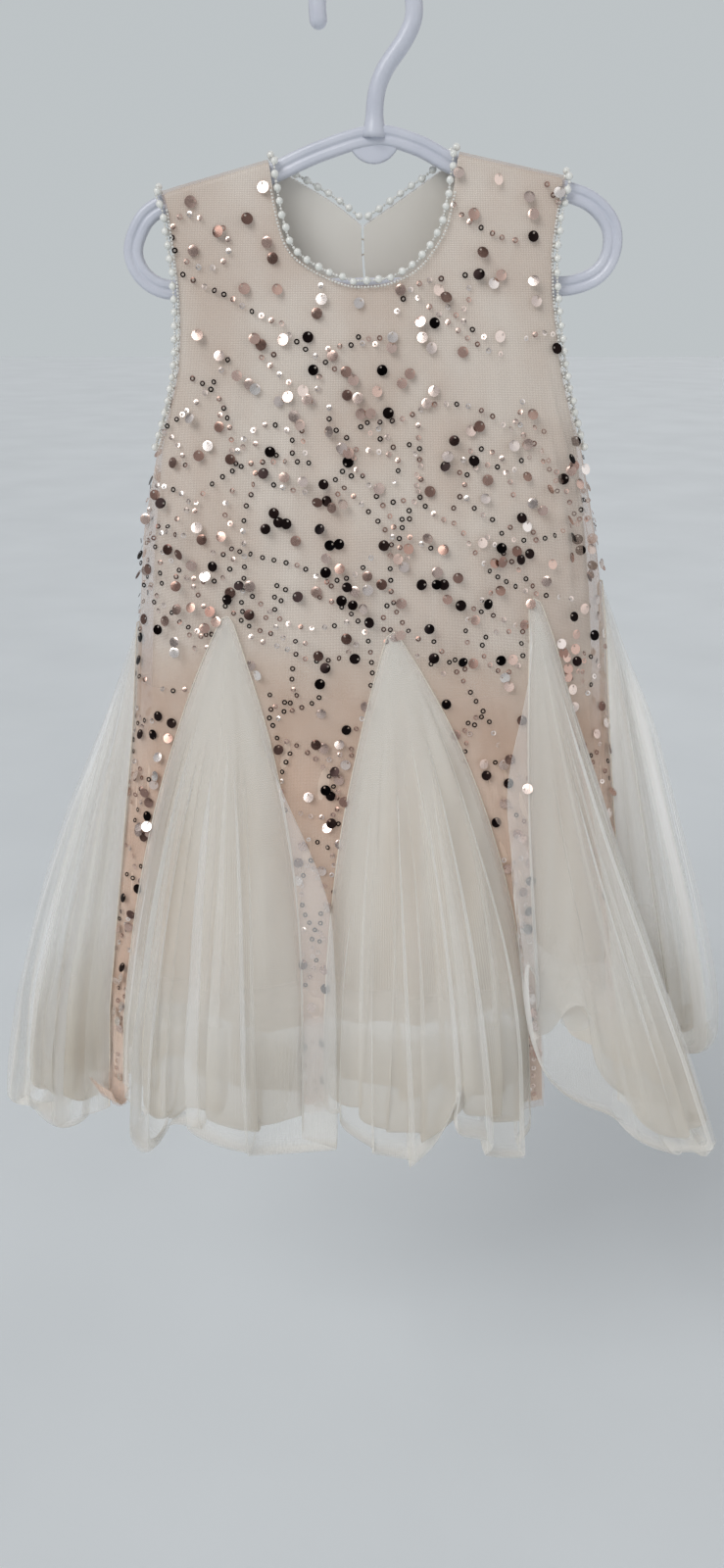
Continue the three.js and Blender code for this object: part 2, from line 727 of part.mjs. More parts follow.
const dress = new THREE.Group();
dress.add(
  piece("front_body", panelGeometry(FRONT_GORES), NUDE, 0.7),
  piece("back_body_right", panelGeometry(BACK_RIGHT_GORES, 1), NUDE, 0.7),
  piece("back_body_left", panelGeometry(BACK_LEFT_GORES, -1), NUDE, 0.7),
  piece("lining_front", liningGeometry(FRONT_GORES), CREAM, 0.75),
  piece("lining_back", liningGeometry([...BACK_RIGHT_GORES, ...BACK_LEFT_GORES]), CREAM, 0.75),
  ...GODETS.map((godet) => piece(godet.name, godetGeometry(godet), TULLE, 0.85)),
);

const trims = new THREE.Group();
const neck = neckTrims();
trims.add(
  piece("neck_trim_front", trimGeometry(neck.front), PEARL, 0.3),
  piece("neck_trim_back_left", trimGeometry(neck.backLeft), PEARL, 0.3),
  piece("neck_trim_back_right", trimGeometry(neck.backRight), PEARL, 0.3),
  piece("armhole_trim_left", trimGeometry(armholeTrim(-1)), PEARL, 0.3),
  piece("armhole_trim_right", trimGeometry(armholeTrim(1)), PEARL, 0.3),
  piece("back_button", buttonGeometry(), PEARL, 0.3),
);

const group = new THREE.Group();
group.add(hanger, dress, trims);
export default group;
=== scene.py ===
import math

import bmesh
import bpy
import numpy as np
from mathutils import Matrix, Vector


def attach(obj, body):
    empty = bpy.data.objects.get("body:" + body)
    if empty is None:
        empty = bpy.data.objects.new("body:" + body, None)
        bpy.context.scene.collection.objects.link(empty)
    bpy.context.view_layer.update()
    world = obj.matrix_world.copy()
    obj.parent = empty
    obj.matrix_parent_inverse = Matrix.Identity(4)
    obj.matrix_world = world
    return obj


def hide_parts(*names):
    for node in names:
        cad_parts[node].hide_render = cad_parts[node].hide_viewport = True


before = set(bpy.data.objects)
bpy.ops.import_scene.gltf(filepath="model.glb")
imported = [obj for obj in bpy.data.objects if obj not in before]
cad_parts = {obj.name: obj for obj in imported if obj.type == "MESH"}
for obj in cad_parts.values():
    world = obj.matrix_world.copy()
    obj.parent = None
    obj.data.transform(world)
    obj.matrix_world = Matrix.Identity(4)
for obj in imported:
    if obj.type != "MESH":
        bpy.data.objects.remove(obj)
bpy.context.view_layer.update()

MM = 0.001
TINY = 1e-9
SEED = 20
rng = np.random.default_rng(SEED)

# Outline of the dress: level, left, right, front and back reach, and how far its edges stand from the middle
SECTION_ROWS = np.array([
    (-90, -116, 112, 6.4, 6.4, 6.2),
    (-112, -115.3, 111, 9, 8, 6.6),
    (-125, -112, 108.6, 11, 9.5, 7.6),
    (-147, -109.5, 106.6, 13.5, 11.5, 8.6),
    (-168, -108, 108, 15.5, 13, 9),
    (-189, -108.5, 111.8, 18, 14.5, 8.6),
    (-211, -111, 116.2, 20.5, 16, 7.2),
    (-234, -117.6, 123, 23, 18, 4.4),
    (-255, -125, 130.4, 26, 20, 0.15),
    (-305, -136, 142, 34, 25, 0.15),
    (-366, -144, 152.5, 42, 30, 0.15),
    (-430, -152, 161, 49, 34, 0.15),
    (-490, -162.5, 170, 55, 38, 0.15),
    (-556, -173.5, 181, 61, 42, 0.15),
    (-634, -185.5, 193, 67, 46, 0.15),
    (-720, -192, 201, 72, 50, 0.15),
])[::-1]
ROUNDING = 0.9
ARMPIT_Z = -255
NECK_LEFT, NECK_RIGHT = 0.2675, 0.74
SHOULDER_BEND = 1.8
SEAM_GAP = 0.15
NET_LIFT = 0.5

# Top edges: place across, level
FRONT_TOP = np.array([
    (0, -114.3), (0.2675, -98.3), (0.2725, -100.2), (0.279, -114), (0.286, -130), (0.31, -145),
    (0.367, -155), (0.442, -162), (0.499, -163.4), (0.571, -161.3), (0.649, -152.5), (0.708, -134.7),
    (0.727, -115), (0.735, -96.4), (0.74, -94.3), (1, -106.3),
])
BACK_TOP = np.array([
    (0, -114.3), (0.2675, -98.3), (0.2725, -100.2), (0.33, -106.9), (0.42, -118.5), (0.5, -131.4),
    (0.6, -117.5), (0.69, -103.8), (0.735, -96.4), (0.74, -94.3), (1, -106.3),
])

# Gores: first and last angle round the section, then the hem's angle, width and level
GORES = [
    (0, 52.7, 21, 24, -697),
    (52.7, 94.9, 78.3, 22, -690),
    (94.9, 133.4, 125.5, 15, -694),
    (133.4, 180, 158.4, 22, -688),
    (180.001, 226, 202, 24, -690),
    (226, 270, 249, 20, -696),
    (270, 313, 291, 20, -692),
    (313, 360, 339, 24, -697),
]
PANELS = 4 * ["net_front"] + 2 * ["net_back_right"] + 2 * ["net_back_left"]
STRIP_EASE = 3

# Godets: the gores beside each, its point, how far it puffs and leans, its hem's levels, its long folds
# (place across, how deep, lapping left where negative), the places where its hem dips or lifts (place,
# millimetres, width), how far it laps over the strip on either side and from which share of its length,
# and how its puff leans to the right
GODETS = [
    dict(name="side_left", gores=(7, 0), apex=-368, bulge=66, sway=-4, hem=(-700, -712, -718),
         folds=((0.12, 4), (0.27, 7), (0.42, -6), (0.57, 7), (0.7, -5), (0.86, 5)),
         tips=((0.2, -6, 0.07), (0.42, 12, 0.06), (0.6, -10, 0.06), (0.74, 8, 0.03), (0.86, -8, 0.05))),
    dict(name="front_left", gores=(0, 1), apex=-355, bulge=54, sway=4, hem=(-690, -678, -704),
         folds=((0.12, 6), (0.26, -7), (0.38, 8), (0.59, -6), (0.76, 7)),
         tips=((0.08, 4, 0.06), (0.2, -12, 0.08), (0.33, -22, 0.05), (0.42, -26, 0.035), (0.62, 8, 0.07),
               (0.8, -5, 0.06)), over=((0, 0), (22, 0.1)), lean=1.45),
    dict(name="front_centre", gores=(1, 2), apex=-363, bulge=54, sway=2, hem=(-682, -690, -694),
         folds=((0.11, 6), (0.23, 7), (0.38, -7), (0.56, -9), (0.7, 5), (0.84, 6)),
         tips=((0.1, 12, 0.05), (0.3, -9, 0.1), (0.53, 46, 0.05), (0.62, 24, 0.07), (0.84, -8, 0.08)),
         over=((5, 0.3), (7, 0.3))),
    dict(name="front_right", gores=(2, 3), apex=-345, bulge=64, sway=50, hem=(-650, -694, -704),
         folds=((0.14, 6), (0.27, -8), (0.42, 6), (0.56, 8), (0.69, -7), (0.86, 6)),
         tips=((0.08, 86, 0.08), (0.38, -12, 0.08), (0.58, 6, 0.06), (0.74, -5, 0.05), (0.92, -6, 0.05)),
         over=((22, 0.05), (0, 0))),
    dict(name="side_right", gores=(3, 4), apex=-341, bulge=58, sway=0, hem=(-656, -668, -688),
         folds=((0.13, 5), (0.29, -7), (0.45, 7), (0.6, -6), (0.73, 6), (0.88, 4)),
         tips=((0.2, -10, 0.05), (0.4, 14, 0.05), (0.56, -8, 0.07), (0.7, 10, 0.04))),
    dict(name="back_right", gores=(4, 5), apex=-350, bulge=34, sway=8, hem=(-688, -700, -694),
         folds=((0.12, 5), (0.27, -7), (0.41, 6), (0.57, -7), (0.72, 6), (0.88, 4)),
         tips=((0.22, -9, 0.05), (0.45, 12, 0.05), (0.74, -8, 0.06)), over=((4, 0.3), (10, 0.3))),
    dict(name="back_centre", gores=(5, 6), apex=-360, bulge=32, sway=0, hem=(-690, -700, -696),
         folds=((0.12, -5), (0.25, 7), (0.42, 6), (0.58, -7), (0.73, 6), (0.87, -5)),
         tips=((0.18, -7, 0.06), (0.52, 14, 0.05), (0.82, -9, 0.05)), over=((8, 0.3), (4, 0.3))),
    dict(name="back_left", gores=(6, 7), apex=-352, bulge=34, sway=-8, hem=(-694, -704, -698),
         folds=((0.13, 5), (0.29, 7), (0.45, -6), (0.6, 7), (0.76, -6), (0.9, 4)),
         tips=((0.25, 12, 0.05), (0.5, -8, 0.06), (0.78, 6, 0.06)), over=((10, 0.3), (4, 0.3))),
]
NO_LAP = ((0, 0), (0, 0))
LAP = 4
LAP_LIFT = 1.9
GODET_EASE = 1.6
TUCK_RADIUS = 13
TUCK_SHARE = 0.3
TUCK_CLEAR = 6
SWAY_SKEW = 1.4
PUFF_ROUNDING = 0.75

# Loose folds of the bodice: angle, top, bottom, width in degrees, depth
BODY_FOLDS = [
    (150, -225, -345, 9, 3), (166, -235, -335, 7, -2.5), (27, -240, -350, 9, 2.5), (74, -270, -360, 8, -2),
    (108, -280, -370, 8, 2), (205, -230, -340, 9, 3), (250, -250, -360, 8, -2), (300, -250, -360, 9, 2.5),
    (335, -235, -345, 8, -2.5),
]
# The same with the folds that only the loose net has, over the lining
NET_FOLDS = BODY_FOLDS + [
    (140, -190, -380, 2.6, 2.6), (147, -215, -372, 2.2, 3.4), (155, -200, -360, 2.4, 4.2),
    (161, -228, -366, 2, 3.2), (169, -215, -352, 2.4, 3.6), (12, -215, -372, 3, 3.4),
    (20, -240, -380, 2.4, 2.6), (36, -260, -372, 3, 2.2), (62, -250, -365, 2.6, 1.6), (90, -240, -372, 3, 1.4),
    (118, -235, -360, 2.6, 1.8), (190, -215, -365, 3, 3.4), (198, -235, -372, 2.4, 2.8),
    (70, -160, -330, 2.6, 1.3), (81, -175, -360, 2.2, 1.1), (99, -170, -320, 2.4, 1.2),
    (112, -160, -350, 2.2, 1.4), (48, -150, -330, 2.6, 1.5), (130, -140, -300, 2.4, 1.6),
    (222, -220, -360, 3, 2.2), (284, -230, -365, 3, 2),
    (318, -225, -372, 2.6, 2.8), (328, -210, -360, 2.6, 3.4), (346, -230, -372, 2.6, 3),
]

SLIT_ANGLE = 270
SLIT_BOTTOM = -236
SLIT_GAP = 0.8
SLIT_TAPER = 60
LINING_HEM = -632
TRIM_OFF = 2.4


def srgb(red, green, blue):
    """A colour given as it looks on screen, from 0 to 255, as the shader wants it."""
    shares = (c / 255 for c in (red, green, blue))
    return tuple(c / 12.92 if c <= 0.04045 else ((c + 0.055) / 1.055) ** 2.4 for c in shares) + (1,)


def mix(a, b, share):
    return a + (b - a) * share


def clamp01(value):
    return np.clip(value, 0, 1)


def smooth_step(value):
    value = clamp01(value)
    return value * value * (3 - 2 * value)


def unit(vectors):
    """The vectors along the last axis, made 1 long."""
    return vectors / np.maximum(np.linalg.norm(vectors, axis=-1, keepdims=True), TINY)


def level(z, column):
    return np.interp(z, SECTION_ROWS[:, 0], SECTION_ROWS[:, column])


def half_and_middle(z):
    """Half the width of the dress at a level, and the middle of it."""
    left, right = level(z, 1), level(z, 2)
    return (right - left) / 2, (right + left) / 2


def across_of(angle):
    return (1 - np.cos(np.radians(angle))) / 2


def angle_of(across):
    return np.degrees(np.arccos(1 - 2 * np.asarray(across, float)))


def fold_depth(angle, z, folds):
    depth = np.zeros(np.broadcast(angle, z).shape)
    for at, top, bottom, width, deep in folds:
        along = clamp01((top - z) / (top - bottom))
        depth = depth + deep * np.sin(np.pi * along) * np.exp(-((angle - at) / width) ** 2)
    return depth


def body_point(angle, z, lift=0.0, folds=BODY_FOLDS):
    """Points of the dress's surface, angle degrees round from the left side and lift out of it."""
    angle, z, lift = np.broadcast_arrays(*(np.asarray(value, float) for value in (angle, z, lift)))
    back = angle > 180
    turn = np.radians(angle)
    edge = level(z, 5)
    half, middle = half_and_middle(z)
    depth = np.where(back, level(z, 4), level(z, 3))
    rounded = np.abs(np.sin(turn))
    y = edge + (depth - edge) * rounded ** ROUNDING
    out_x, out_y = -np.cos(turn) / half, rounded / depth
    size = np.hypot(out_x, out_y)
    away = lift + fold_depth(angle, z, folds)
    side = np.where(back, 1.0, -1.0)
    x = middle - half * np.cos(turn) + out_x / size * away
    return np.stack([x, side * (y + out_y / size * away), z + 0 * x], axis=-1)


def mm_per_degree(angle, z):
    half = (level(z, 2) - level(z, 1)) / 2
    depth = np.where(np.asarray(angle) > 180, level(z, 4), level(z, 3))
    return np.hypot(half * np.sin(np.radians(angle)), depth * np.cos(np.radians(angle))) * np.pi / 180


APEX_ANGLES = [gore[0] for gore in GORES] + [360]
APEX_LEVELS = [godet["apex"] for godet in GODETS] + [GODETS[0]["apex"]]


def apex_level(angle):
    return np.interp(angle, APEX_ANGLES, APEX_LEVELS)


def strip_angle(gore, angle, z):
    """Where a gore's angle lies at a level, as the gore narrows to a strip below the godets' points."""
    start, end, hem, width, hem_z = gore
    top = apex_level(angle)
    share = clamp01((top - z) / (top - hem_z))
    narrowed = 1 - (1 - share) ** STRIP_EASE
    wide = width / mm_per_degree(hem, hem_z)
    low = hem + ((angle - start) / (end - start) - 0.5) * wide
    return mix(angle, low, narrowed)


def catmull(points, steps):
    """A smooth run through the points, with steps points for each stretch."""
    points = np.asarray(points, float)
    padded = np.vstack([2 * points[0] - points[1], points, 2 * points[-1] - points[-2]])
    run = []
    for i in range(1, len(padded) - 2):
        a, b, c, d = padded[i - 1:i + 3]
        for k in range(steps):
            u = k / steps
            square, cube = 2 * a - 5 * b + 4 * c - d, 3 * b - a - 3 * c + d
            run.append(0.5 * (2 * b + (c - a) * u + square * u * u + cube * u ** 3))
    run.append(points[-1])
    return np.array(run)


def smooth_top(table, first, last, steps=5):
    """The table of a top edge with its stretch from row first to row last made round."""
    return np.vstack([table[:first], catmull(table[first:last + 1], steps), table[last + 1:]])


FRONT_EDGE = smooth_top(FRONT_TOP, 3, 12)
BACK_EDGE = np.vstack([smooth_top(BACK_TOP, 2, 5)[:-6], smooth_top(BACK_TOP, 5, 8)[5:]])


def top_level(angle, back):
    table = BACK_EDGE if back else FRONT_EDGE
    return np.interp(across_of(angle), table[:, 0], table[:, 1])


def resample(points, spacing):
    """Points at equal spacing along a run of points, and the way that the run goes at each."""
    points = np.asarray(points, float)
    steps = np.linalg.norm(np.diff(points, axis=0), axis=1)
    along = np.concatenate([[0], np.cumsum(steps)])
    count = max(2, int(round(along[-1] / spacing)) + 1)
    marks = np.linspace(0, along[-1], count)
    at = np.stack([np.interp(marks, along, points[:, i]) for i in range(3)], axis=-1)
    return at, unit(np.gradient(at, axis=0))


def ripple(seed, x, y, wave_x, wave_y, count=5):
    """Soft uneven waves in x and y, about 1 high."""
    own = np.random.default_rng(seed)
    total = 0
    for _ in range(count):
        kx, ky = own.normal(0, 1, 2)
        total = total + np.sin(2 * np.pi * (kx * x / wave_x + ky * y / wave_y) + own.uniform(0, 6.28))
    return total / math.sqrt(count)


# Meshes


def mesh_object(name, points, faces, material, uv=None, smooth=True, tones=None):
    """An object from points in millimetres and faces as rows of point numbers."""
    points = np.asarray(points, float).reshape(-1, 3)
    faces = [np.asarray(block, np.int32) for block in (faces if isinstance(faces, list) else [faces])]
    mesh = bpy.data.meshes.new(name)
    mesh.vertices.add(len(points))
    mesh.vertices.foreach_set("co", (points * MM).ravel())
    loops = np.concatenate([block.ravel() for block in faces])
    sizes = np.concatenate([np.full(len(block), block.shape[1]) for block in faces])
    mesh.loops.add(len(loops))
    mesh.loops.foreach_set("vertex_index", loops)
    mesh.polygons.add(len(sizes))
    mesh.polygons.foreach_set("loop_start", np.concatenate([[0], np.cumsum(sizes)[:-1]]).astype(np.int32))
    mesh.polygons.foreach_set("loop_total", sizes.astype(np.int32))
    if uv is not None:
        layer = mesh.uv_layers.new(name="cut")
        layer.data.foreach_set("uv", (np.asarray(uv, float).reshape(-1, 2)[loops] * MM).ravel())
    if tones is not None:
        attribute = mesh.attributes.new("tone", "FLOAT", "POINT")
        attribute.data.foreach_set("value", np.asarray(tones, np.float32))
    mesh.update(calc_edges=True)
    mesh.validate()
    mesh.polygons.foreach_set("use_smooth", np.full(len(mesh.polygons), smooth))
    mesh.materials.append(material)
    obj = bpy.data.objects.new(name, mesh)
    bpy.context.scene.collection.objects.link(obj)
    return obj


def grid_faces(rows, columns, wrap=False, start=0):
    """Quads of a grid of points, rows by columns."""
    across = columns if wrap else columns - 1
    r, c = np.meshgrid(np.arange(rows - 1), np.arange(across), indexing="ij")
    here = r * columns + c
    beside = r * columns + (c + 1) % columns
    return np.stack([here, here + columns, beside + columns, beside], axis=-1).reshape(-1, 4) + start


def edit_mesh(obj, change):
    bm = bmesh.new()
    bm.from_mesh(obj.data)
    change(bm)
    bm.to_mesh(obj.data)
    bm.free()
    return obj


def merge_points(obj, distance_mm):
    return edit_mesh(obj, lambda bm: bmesh.ops.remove_doubles(bm, verts=bm.verts, dist=distance_mm * MM))


def outward(obj):
    """Turns the faces of a closed shape to look out of it."""
    return edit_mesh(obj, lambda bm: bmesh.ops.recalc_face_normals(bm, faces=bm.faces))


def join(name, objects):
    """One object from several that share their materials' order."""
    chosen = dict(active_object=objects[0], selected_editable_objects=objects, selected_objects=objects)
    with bpy.context.temp_override(**chosen):
        bpy.ops.object.join()
    objects[0].name = name
    return objects[0]


def circle(radius, sides):
    turn = np.arange(sides) * 2 * np.pi / sides
    return np.stack([radius * np.cos(turn), radius * np.sin(turn)], axis=-1)


def sweep(path, section):
    """A closed bar along a path in the XZ plane. section is rows of (across the path, along Y)."""
    path = np.asarray(path, float)
    ahead = unit(np.gradient(path, axis=0))
    aside = np.stack([-ahead[:, 2], ahead[:, 1] * 0, ahead[:, 0]], axis=-1)
    section = np.asarray(section, float)
    if section.ndim == 2:
        section = np.broadcast_to(section, (len(path),) + section.shape)
    y_axis = np.array([0, 1, 0.0])
    points = path[:, None, :] + section[:, :, :1] * aside[:, None, :] + section[:, :, 1:] * y_axis
    count = section.shape[1]
    total = len(path) * count
    start = np.arange(count)
    end = start + total - count
    faces = [
        grid_faces(len(path), count, wrap=True),
        np.stack([np.roll(start, -1), start, np.full(count, total)], axis=-1),
        np.stack([end, np.roll(end, -1), np.full(count, total + 1)], axis=-1),
    ]
    return np.vstack([points.reshape(-1, 3), path[0], path[-1]]), faces


def square_to(ahead):
    """Ways square to the ways that a run goes."""
    up = np.where(np.abs(ahead[:, 1:2]) < 0.8, np.array([[0, 1.0, 0]]), np.array([[1.0, 0, 0]]))
    return unit(np.cross(ahead, up))


def tube(path, radius, sides):
    """A round thread along any path."""
    path = np.asarray(path, float)
    ahead = unit(np.gradient(path, axis=0))
    aside = square_to(ahead)
    over = np.cross(aside, ahead)
    ring = circle(1, sides)[None]
    ring = ring[:, :, :1] * aside[:, None, :] + ring[:, :, 1:] * over[:, None, :]
    return (path[:, None, :] + radius * ring).reshape(-1, 3), grid_faces(len(path), sides, wrap=True)


def many(name, shape, places, frames, sizes, material, tones=None, smooth=True):
    """Copies of a small shape in one mesh. Each has a matrix in frames, its columns the shape's axes."""
    shape_points, shape_faces = np.asarray(shape[0], float), shape[1]
    count, each = len(places), len(shape_points)
    points = np.einsum("nij,mj->nmi", frames, shape_points) * np.asarray(sizes, float)[:, None, None]
    points = (points + np.asarray(places)[:, None, :]).reshape(-1, 3)
    first = (np.arange(count) * each)[:, None, None]
    blocks = [(block[None] + first).reshape(-1, block.shape[1]) for block in shape_faces]
    spread = None if tones is None else np.repeat(tones, each)
    return mesh_object(name, points, blocks, material, smooth=smooth, tones=spread)


def ball(rings, sides):
    """A round bead of radius 1 from rings and sides."""
    rows = []
    for i in range(1, rings):
        down = math.pi * i / rings
        turn = np.arange(sides) * 2 * np.pi / sides
        wide = np.sin(down)
        ring = [wide * np.cos(turn), wide * np.sin(turn), np.full(sides, np.cos(down))]
        rows.append(np.stack(ring, axis=-1))
    points = np.vstack(rows + [[[0, 0, 1]], [[0, 0, -1]]])
    top, bottom = len(points) - 2, len(points) - 1
    here = np.arange(sides)
    beside = (here + 1) % sides
    last = (rings - 2) * sides
    upper = np.stack([np.full(sides, top), here, beside], axis=-1)
    lower = np.stack([np.full(sides, bottom), last + beside, last + here], axis=-1)
    return points, [grid_faces(rings - 1, sides, wrap=True), np.vstack([upper, lower])]


def disc(radius, hole, hole_up, cup, thick, sides, hole_sides):
    """A cupped disc round (0, 0) with a hole at hole_up, made of two faces that meet at the rim."""
    turn = np.arange(sides) * 2 * np.pi / sides
    ratio = sides // hole_sides
    near = turn[::ratio]
    outer = np.stack([radius * np.sin(turn), radius * np.cos(turn), np.full(sides, -cup)], axis=-1)
    inner = np.stack([hole * np.sin(near), hole_up + hole * np.cos(near), np.zeros(hole_sides)], axis=-1)
    points = np.vstack([outer, inner + (0, 0, thick / 2), inner - (0, 0, thick / 2)])
    faces = []
    for i in range(sides):
        j = (i + 1) % sides
        a = sides + i // ratio % hole_sides
        b = sides + (i + 1) // ratio % hole_sides
        under_a, under_b = a + hole_sides, b + hole_sides
        faces += [(i, a, j), (i, j, under_a)]
        if a != b:
            faces += [(j, a, b), (j, under_b, under_a), (a, under_a, b), (b, under_a, under_b)]
    return points, [np.array(faces)]


# Materials


class Tree:
    """The nodes of a material or a world."""

    def __init__(self, owner):
        owner.use_nodes = True
        self.nodes = owner.node_tree.nodes
        self.links = owner.node_tree.links

    def feed(self, node, sockets):
        """Fills a node's sockets: a value is set, and another node's output is linked."""
        for key, value in sockets.items():
            if isinstance(value, bpy.types.NodeSocket):
                self.links.new(value, node.inputs[key])
            else:
                node.inputs[key].default_value = value

    def add(self, kind, output, sockets=None, **settings):
        """The named output of a new node."""
        node = self.nodes.new("ShaderNode" + kind)
        for key, value in settings.items():
            setattr(node, key, value)
        self.feed(node, sockets or {})
        return node.outputs[output]

    def noise(self, scale, detail, stretch=(1, 1, 1), coordinates="Object"):
        """A noise texture on an object's own or cut coordinates, in metres."""
        place = self.add("TexCoord", coordinates)
        place = self.add("Mapping", "Vector", {"Vector": place, "Scale": stretch})
        return self.add("TexNoise", "Fac", {"Vector": place, "Scale": scale, "Detail": detail})

    def ramp(self, factor, *stops):
        """A colour from a factor. stops are pairs of a place and a colour."""
        node = self.nodes.new("ShaderNodeValToRGB")
        element = node.color_ramp.elements
        while len(element) < len(stops):
            element.new(0.5)
        for slot, (place, color) in zip(element, stops):
            slot.position = place
            slot.color = color
        self.feed(node, {"Fac": factor})
        return node.outputs["Color"]

    def span(self, value, first, last, low, high):
        """A value from first to last, made to run from low to high."""
        sockets = {"Value": value, "From Min": first, "From Max": last, "To Min": low, "To Max": high}
        return self.add("MapRange", "Result", sockets)

    def height_share(self, low, high):
        """From 0 at the level low to 1 at the level high, in millimetres."""
        z = self.add("SeparateXYZ", "Z", {"Vector": self.add("TexCoord", "Object")})
        return self.span(z, low * MM, high * MM, 0, 1)

    def mixed(self, share, first, second):
        return self.add("MixRGB", "Color", {"Fac": share, "Color1": first, "Color2": second})

    def plus(self, value, times, more):
        """value times a number, plus more."""
        return self.add("Math", "Value", {0: value, 1: times, 2: more}, operation="MULTIPLY_ADD")

    def net_cells(self, cell_mm, low, high, edge):
        """A net, low in its holes and high on its threads, and the distance to a thread."""
        sockets = {"Vector": self.add("TexCoord", "UV"), "Scale": 1000 / cell_mm, "Randomness": 0.25}
        settings = dict(feature="DISTANCE_TO_EDGE", voronoi_dimensions="2D")
        distance = self.add("TexVoronoi", "Distance", sockets, **settings)
        return self.span(distance, 0, edge, high, low), distance

    def bump(self, height, strength, distance_mm):
        sockets = {"Height": height, "Strength": strength, "Distance": distance_mm * MM}
        return self.add("Bump", "Normal", sockets)

    def weave(self, thread_mm):
        """The small hills of a plain weave."""
        place = self.add("TexCoord", "UV")
        sockets = {"Vector": place, "Scale": 1000 / thread_mm / 20 * math.pi, "Distortion": 0.6}
        waves = [self.add("TexWave", "Fac", sockets, bands_direction=way) for way in "XY"]
        return self.add("Math", "Value", {0: waves[0], 1: waves[1]}, operation="MULTIPLY")


class Finish(Tree):
    """A material with its nodes and its shader."""

    def __init__(self, name, color, roughness, **sockets):
        self.material = bpy.data.materials.new(name)
        super().__init__(self.material)
        self.into(Base_Color=color, Roughness=roughness, **sockets)

    def into(self, **sockets):
        """Fills the shader's sockets, and gives the material."""
        named = {key.replace("_", " "): value for key, value in sockets.items()}
        self.feed(self.nodes["Principled BSDF"], named)
        return self.material


def lighter(color, factor):
    return tuple(min(1, c * factor) for c in color[:3]) + (1,)


def net_material():
    finish = Finish("nude_net", srgb(230, 196, 176), 0.75, Sheen_Weight=0.25, Sheen_Roughness=0.5)
    tone = finish.noise(26, 3, (1, 1, 0.6))
    color = finish.ramp(tone, (0.37, srgb(217, 187, 168)), (0.63, srgb(238, 221, 209)))
    alpha, distance = finish.net_cells(0.9, 0.25, 0.42, 0.22)
    return finish.into(Base_Color=color, Alpha=alpha, Normal=finish.bump(distance, 0.3, 0.1))


def backing_material():
    """Nude cloth that thins out towards the godets' points."""
    finish = Finish("nude_backing", srgb(232, 200, 178), 0.7, Sheen_Weight=0.2)
    tone = finish.noise(18, 3, (1, 1, 0.4))
    color = finish.ramp(tone, (0.3, srgb(235, 208, 187)), (0.7, srgb(243, 220, 201)))
    alpha = finish.span(finish.height_share(-455, -368), 0, 1, 0.85, 0.0)
    return finish.into(Base_Color=color, Alpha=alpha, Normal=finish.bump(finish.weave(0.4), 0.2, 0.05))


def lining_material():
    """Cream satin in the bodice, nude below the hip, where long darker and lighter streaks are painted shade
    of its folds.
    """
    finish = Finish("cream_lining", srgb(238, 228, 212), 0.5, Sheen_Weight=0.2, Sheen_Roughness=0.4)
    tone = finish.noise(14, 4, (1, 1, 0.35))
    cream = finish.ramp(tone, (0.3, srgb(227, 221, 211)), (0.72, srgb(237, 233, 225)))
    # Long vertical streaks on the nude part: painted shade of folds
    folds = finish.noise(34, 2, (1, 1, 0.08))
    nude = finish.ramp(folds, (0.36, srgb(222, 200, 174)), (0.6, srgb(246, 237, 224)))
    color = finish.mixed(finish.height_share(-500, -370), nude, cream)
    return finish.into(Base_Color=color, Normal=finish.bump(finish.weave(0.35), 0.25, 0.05))


# Colour that the tulle darkens to near its hem: painted shade of the gathered hem
HEM_SHADE = srgb(209, 194, 171)
TULLE_LIGHT = 1.06


def tulle_material(name, color, alpha, edge_alpha, hem_shade_share, hem_alpha):
    """Net that is denser where it stands edge-on, at its folds and towards its gathered hem, with painted
    shade darkening its colour towards the hem.
    """
    finish = Finish(name, color, 0.85, Sheen_Weight=0.35, Sheen_Roughness=0.6)
    tone = finish.noise(30, 3, (1, 0.3, 1), "UV")
    # deep: the layer's colour darkened towards HEM_SHADE, painted shade for the hem
    deep = tuple(mix(a, b, hem_shade_share) for a, b in zip(color, HEM_SHADE))
    plain, shaded_hem_tone = (finish.ramp(tone, (0.32, c), (0.7, lighter(c, TULLE_LIGHT))) for c in (color, deep))
    cells, distance = finish.net_cells(1.1, alpha - 0.03, alpha + 0.05, 0.2)
    turned = finish.add("Attribute", "Fac", attribute_name="tone")
    denser = finish.plus(turned, edge_alpha, cells)
    return finish.into(Base_Color=finish.mixed(finish.height_share(-665, -590), shaded_hem_tone, plain),
                       Alpha=finish.plus(finish.height_share(-585, -640), hem_alpha, denser),
                       Normal=finish.bump(distance, 0.1, 0.05))


def sequin_material():
    """Mirror film, rose gold in the middle of its range, from nearly black to near white by each sequin's
    tone: painted reflection of dark and bright surroundings.
    """
    finish = Finish("rose_gold_film", srgb(214, 160, 142), 0.16, Metallic=1.0)
    color = finish.ramp(
        finish.add("Attribute", "Fac", attribute_name="tone"),
        (0.0, srgb(16, 14, 15)), (0.2, srgb(44, 34, 33)), (0.34, srgb(112, 86, 78)),
        (0.48, srgb(184, 150, 137)), (0.62, srgb(220, 190, 177)), (0.8, srgb(240, 221, 211)),
        (1.0, srgb(252, 246, 242)))
    return finish.into(Base_Color=color, Roughness=finish.span(finish.noise(900, 2), 0, 1, 0.2, 0.32))


def bead_material(name, color, dark, roughness):
    finish = Finish(name, color, roughness, Metallic=0.0, Coat_Weight=0.7, Coat_Roughness=0.08)
    return finish.into(Base_Color=finish.ramp(finish.noise(420, 2), (0.3, dark), (0.65, color)))


